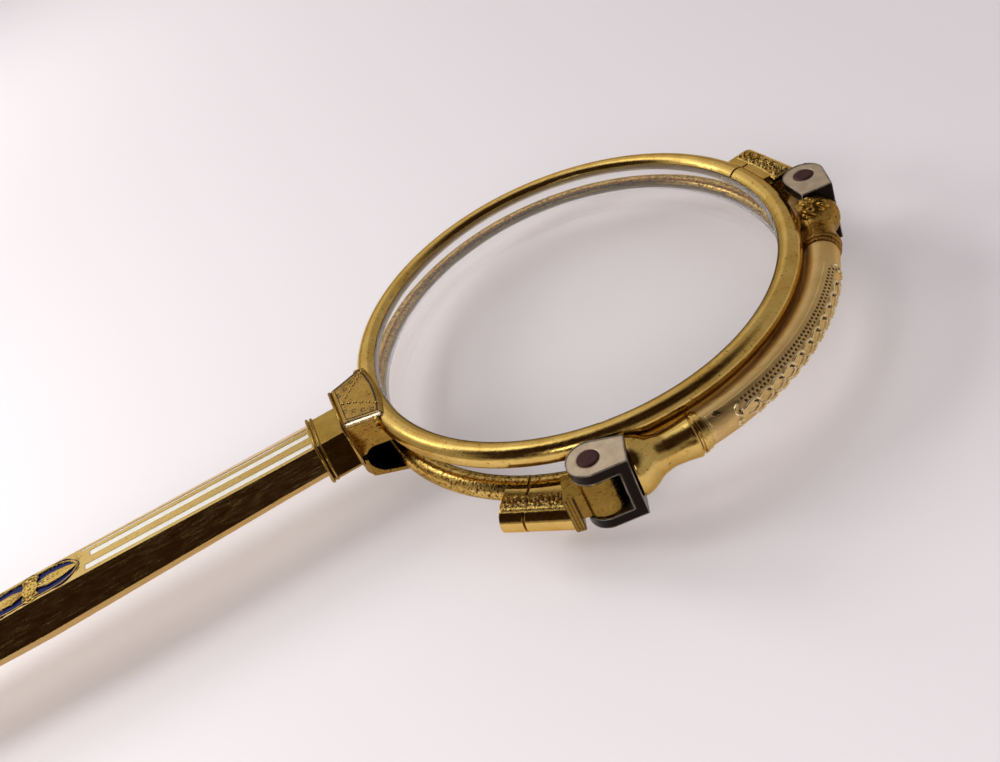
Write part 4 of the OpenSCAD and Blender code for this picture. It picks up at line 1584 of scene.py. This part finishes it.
@dataclass
class BeadMoulding:
    """Half-round beads round the six sides of the ferrules and the saddle's flange."""

    ferrule_x: float = 66.65
    tail_x: float = 13.55
    flange_x: float = 69.65
    # lip, distance from the ferrule's end and radius of the two beads
    wide: tuple[float, float, float] = (0.1, 0.13, 0.15)
    narrow: tuple[float, float, float] = (0.06, 0.51, 0.12)
    flange_r: float = 0.17
    flange: tuple = (
        (-2.74, 2.34), (2.74, 2.34), (4.16, -0.75), (3.9, -1.0), (-3.9, -1.0), (-4.16, -0.75),
    )
    sides: int = 10

    def bead(self, bench: Bench, name: str, corners: tuple, x: float, radius: float) -> None:
        """Sweep a round bead along a closed outline at one place of the handle.

        Args:
            bench: gives the materials.
            name: the piece's name.
            corners: the outline's corners across the handle, in millimetres.
            x: its place along the handle.
            radius: the bead's radius.
        """
        shape = bmesh.new()
        count = len(corners)
        rings = []
        for i in range(count):
            here = Vector(corners[i])
            before = (here - Vector(corners[i - 1])).normalized()
            after = (Vector(corners[(i + 1) % count]) - here).normalized()
            square = Vector((before.y, -before.x))
            mitre = (square + Vector((after.y, -after.x))).normalized()
            stretch = 1 / max(0.5, mitre.dot(square))
            ring = []
            for k in range(self.sides):
                turn = 2 * math.pi * k / self.sides
                spot = here + mitre * radius * stretch * math.cos(turn)
                place = Vector((x + radius * math.sin(turn), spot.x, spot.y)) * MM
                ring.append(shape.verts.new(place))
            rings.append(ring)
        for i in range(count):
            one, other = rings[i], rings[(i + 1) % count]
            for k in range(self.sides):
                after = (k + 1) % self.sides
                shape.faces.new((one[k], one[after], other[after], other[k]))
        bmesh.ops.recalc_face_normals(shape, faces=shape.faces)
        put_shape(name, shape, bench.material(FERRULE_PLATE), "handle")

    def outline(self, lip: float) -> tuple[tuple[float, float], ...]:
        """Give the ferrule's outline, let out by a lip."""
        return (
            (-1.93 - lip, 1.46 + lip), (1.93 + lip, 1.46 + lip), (4.1 + lip, -0.75),
            (3.85 + lip, -1.05), (-3.85 - lip, -1.05), (-4.1 - lip, -0.75),
        )

    def build(self, bench: Bench) -> None:
        """Lay the beads.

        Args:
            bench: gives the materials.
        """
        for end, x, way in (("ferrule", self.ferrule_x, 1), ("tail", self.tail_x, -1)):
            for kind, (lip, away, radius) in (("wide", self.wide), ("narrow", self.narrow)):
                self.bead(
                    bench, f"{end}_bead_{kind}", self.outline(lip), x + way * away, radius,
                )
        self.bead(bench, "saddle_flange_bead", self.flange, self.flange_x, self.flange_r)


@dataclass(frozen=True)
class RoomPatch:
    """A round patch of the room that the metal mirrors."""

    towards: tuple[float, float, float]
    inner: float
    outer: float
    colour: str
    strength: float = 1.0


@dataclass(frozen=True)
class Lamp:
    """A round lamp: its place and radius in millimetres, and its power in watts."""

    name: str
    where: tuple[float, float, float]
    radius: float
    power: float


@dataclass
class Studio:
    """Camera, pale floor and soft light."""

    # the camera, as the rims' outlines in the photograph give it
    focal_px: float = 1044.2
    sensor_mm: float = 36.0
    camera_at: tuple[float, float, float] = (LENS_X - 13.97, -74.17, FRONT_Z + 51.16)
    right: tuple[float, float, float] = (0.8693, -0.3356, -0.3629)
    down: tuple[float, float, float] = (-0.4911, -0.5027, -0.7114)
    forward: tuple[float, float, float] = (0.0563, 0.7967, -0.6018)
    floor_z: float = -7.0
    floor_tone: str = "#E6E1E1"
    floor_m: float = 4.0
    floor_x: float = 0.09
    fill_tone: str = "#CCC8CB"
    room_tone: str = "#AAA49F"
    lamps: tuple[Lamp, ...] = (
        Lamp("lamp left", (-20, 20, 75), 20, 0.19),
        Lamp("soft globe front", (40, -120, 75), 25, 0.2),
        Lamp("soft globe left", (-60, 190, 160), 60, 1.03),
    )
    patches: tuple[RoomPatch, ...] = (
        # broad window behind the piece
        RoomPatch((-0.35, 0.55, 0.75), 14, 40, "#FFFFFF"),
        # pale wall, in all level tops as the camera sees them
        RoomPatch((0.056, 0.797, 0.602), 8, 20, "#D8D2CE"),
        # dark ceiling, in the near sides of wires and tube
        RoomPatch((0.1, -0.38, 0.92), 24, 48, "#27160A"),
        RoomPatch((-0.5, -0.12, 0.86), 18, 30, "#27160A"),
        # dark corners low down, in the sides of handle and saddle
        RoomPatch((-0.8, -0.38, 0.46), 10, 22, "#2A1A10"),
        RoomPatch((-0.40, -0.88, 0.25), 8, 20, "#4A3A22"),
        # small bright lamp, in the thumb plate's bevel
        RoomPatch((-0.508, -0.687, 0.511), 5, 8, "#FFFFFF", 5.0),
        # two bright panes, for the glints on the wires and the spool
        RoomPatch((-0.27, 0.42, 0.87), 6, 13, "#FFFFFF", 1.8),
        RoomPatch((-0.55, 0.5, 0.66), 5, 11, "#FFFFFF", 3.0),
    )

    def camera(self) -> None:
        """Place the camera where the rims' outlines put it."""
        data = bpy.data.cameras.new("camera")
        data.sensor_width = self.sensor_mm
        data.lens = self.sensor_mm * self.focal_px / IMAGE_SIZE[0]
        data.clip_start, data.clip_end = 0.001, 20.0
        camera = bpy.data.objects.new("camera", data)
        bpy.context.scene.collection.objects.link(camera)
        axes = (Vector(self.right), -Vector(self.down), -Vector(self.forward))
        matrix = Matrix(axes).transposed().to_4x4()
        matrix.translation = Vector(self.camera_at) * MM
        camera.matrix_world = matrix
        bpy.context.scene.camera = camera

    def floor(self) -> None:
        """Lay the pale floor."""
        bpy.ops.mesh.primitive_plane_add(
            size=self.floor_m, location=(self.floor_x, 0, self.floor_z * MM),
        )
        floor = bpy.context.object
        floor.name = "floor"
        # uncoated paper: a matt pale grey that takes soft shadows
        material, _, shader = new_material("pale matt paper")
        shader.inputs["Base Color"].default_value = linear(self.floor_tone)
        shader.inputs["Roughness"].default_value = 0.9
        floor.data.materials.append(material)

    def hang(self, lamp: Lamp) -> None:
        """Hang a lamp that lights the floor and the enamel; the metal mirrors the room instead.

        Args:
            lamp: the lamp.
        """
        data = bpy.data.lights.new(lamp.name, "POINT")
        data.shadow_soft_size = lamp.radius * MM
        data.energy = lamp.power
        light = bpy.data.objects.new(lamp.name, data)
        bpy.context.scene.collection.objects.link(light)
        light.location = Vector(lamp.where) * MM
        light.visible_glossy = False
        light.visible_transmission = False

    def world(self) -> None:
        """Give a plain even light on the floor, and a room of patches for the metal."""
        world = bpy.data.worlds.new("room")
        bpy.context.scene.world = world
        world.use_nodes = True
        tree = world.node_tree
        background = tree.nodes["Background"]
        coords = add(tree, "ShaderNodeTexCoord")
        colour = linear(self.room_tone)
        for patch in self.patches:
            along = add(
                tree, "ShaderNodeVectorMath", {"operation": "DOT_PRODUCT"},
                i0=coords.outputs["Generated"], i1=Vector(patch.towards).normalized(),
            )
            inside = add(
                tree, "ShaderNodeMapRange", {"interpolation_type": "SMOOTHSTEP"},
                Value=along.outputs["Value"],
                i1=math.cos(math.radians(patch.outer)), i2=math.cos(math.radians(patch.inner)),
            )
            lit = tuple(c * patch.strength for c in linear(patch.colour)[:3]) + (1.0,)
            colour = add(
                tree, "ShaderNodeMix", {"data_type": "RGBA"},
                i0=inside.outputs["Result"], i6=colour, i7=lit,
            ).outputs[2]
        path = add(tree, "ShaderNodeLightPath")
        seen = add(
            tree, "ShaderNodeMix", {"data_type": "RGBA"},
            i0=path.outputs["Is Glossy Ray"], i6=linear(self.fill_tone), i7=colour,
        )
        tree.links.new(seen.outputs[2], background.inputs["Color"])
        background.inputs["Strength"].default_value = 1.0

    def build(self) -> None:
        """Set up camera, floor, lamps and world."""
        self.camera()
        self.floor()
        for lamp in self.lamps:
            self.hang(lamp)
        self.world()
        bpy.context.scene.view_settings.view_transform = "Standard"
        log.info("camera, floor and lamps are in place")


def corners(pair: tuple) -> list[list[float]]:
    """Give a pair of corners as plain lists."""
    return [list(pair[0]), list(pair[1])]


def main() -> None:
    """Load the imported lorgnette, dress it, lay its ornament on and light it."""
    logging.basicConfig(level=logging.INFO, format="%(name)s: %(message)s")
    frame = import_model()
    Studio().build()
    bench = Bench(frame["nodes"])
    bench.dress_nodes()
    for ornament in (
        BridgeEngraving(),
        PlateChasing(),
        MedallionChasing(),
        ScrollBand("rear_scroll_band", "rear_eyepiece", REAR_PIN, -1, REAR_Z - 0.5, 1.24),
        ScrollBand("front_scroll_band", "handle", FRONT_PIN, 1, FRONT_Z - 0.4, 1.15, 5.9),
        SpoolSkin("rear_spool_skin", SPOOL_PLATE, -95.34, 1, 4.688),
        SpoolSkin("front_spool_skin", FAR_SPOOL_PLATE, -22.9, -1, 4.136),
        HingeTrim("rear", "rear_eyepiece", REAR_PIN, 1, -2.7, 0.55),
        HingeTrim("front", "handle", FRONT_PIN, -1, -0.55, 2.0),
        SolderFillets(),
        BeadMoulding(),
    ):
        ornament.build(bench)


if __name__ == "__main__":
    main()
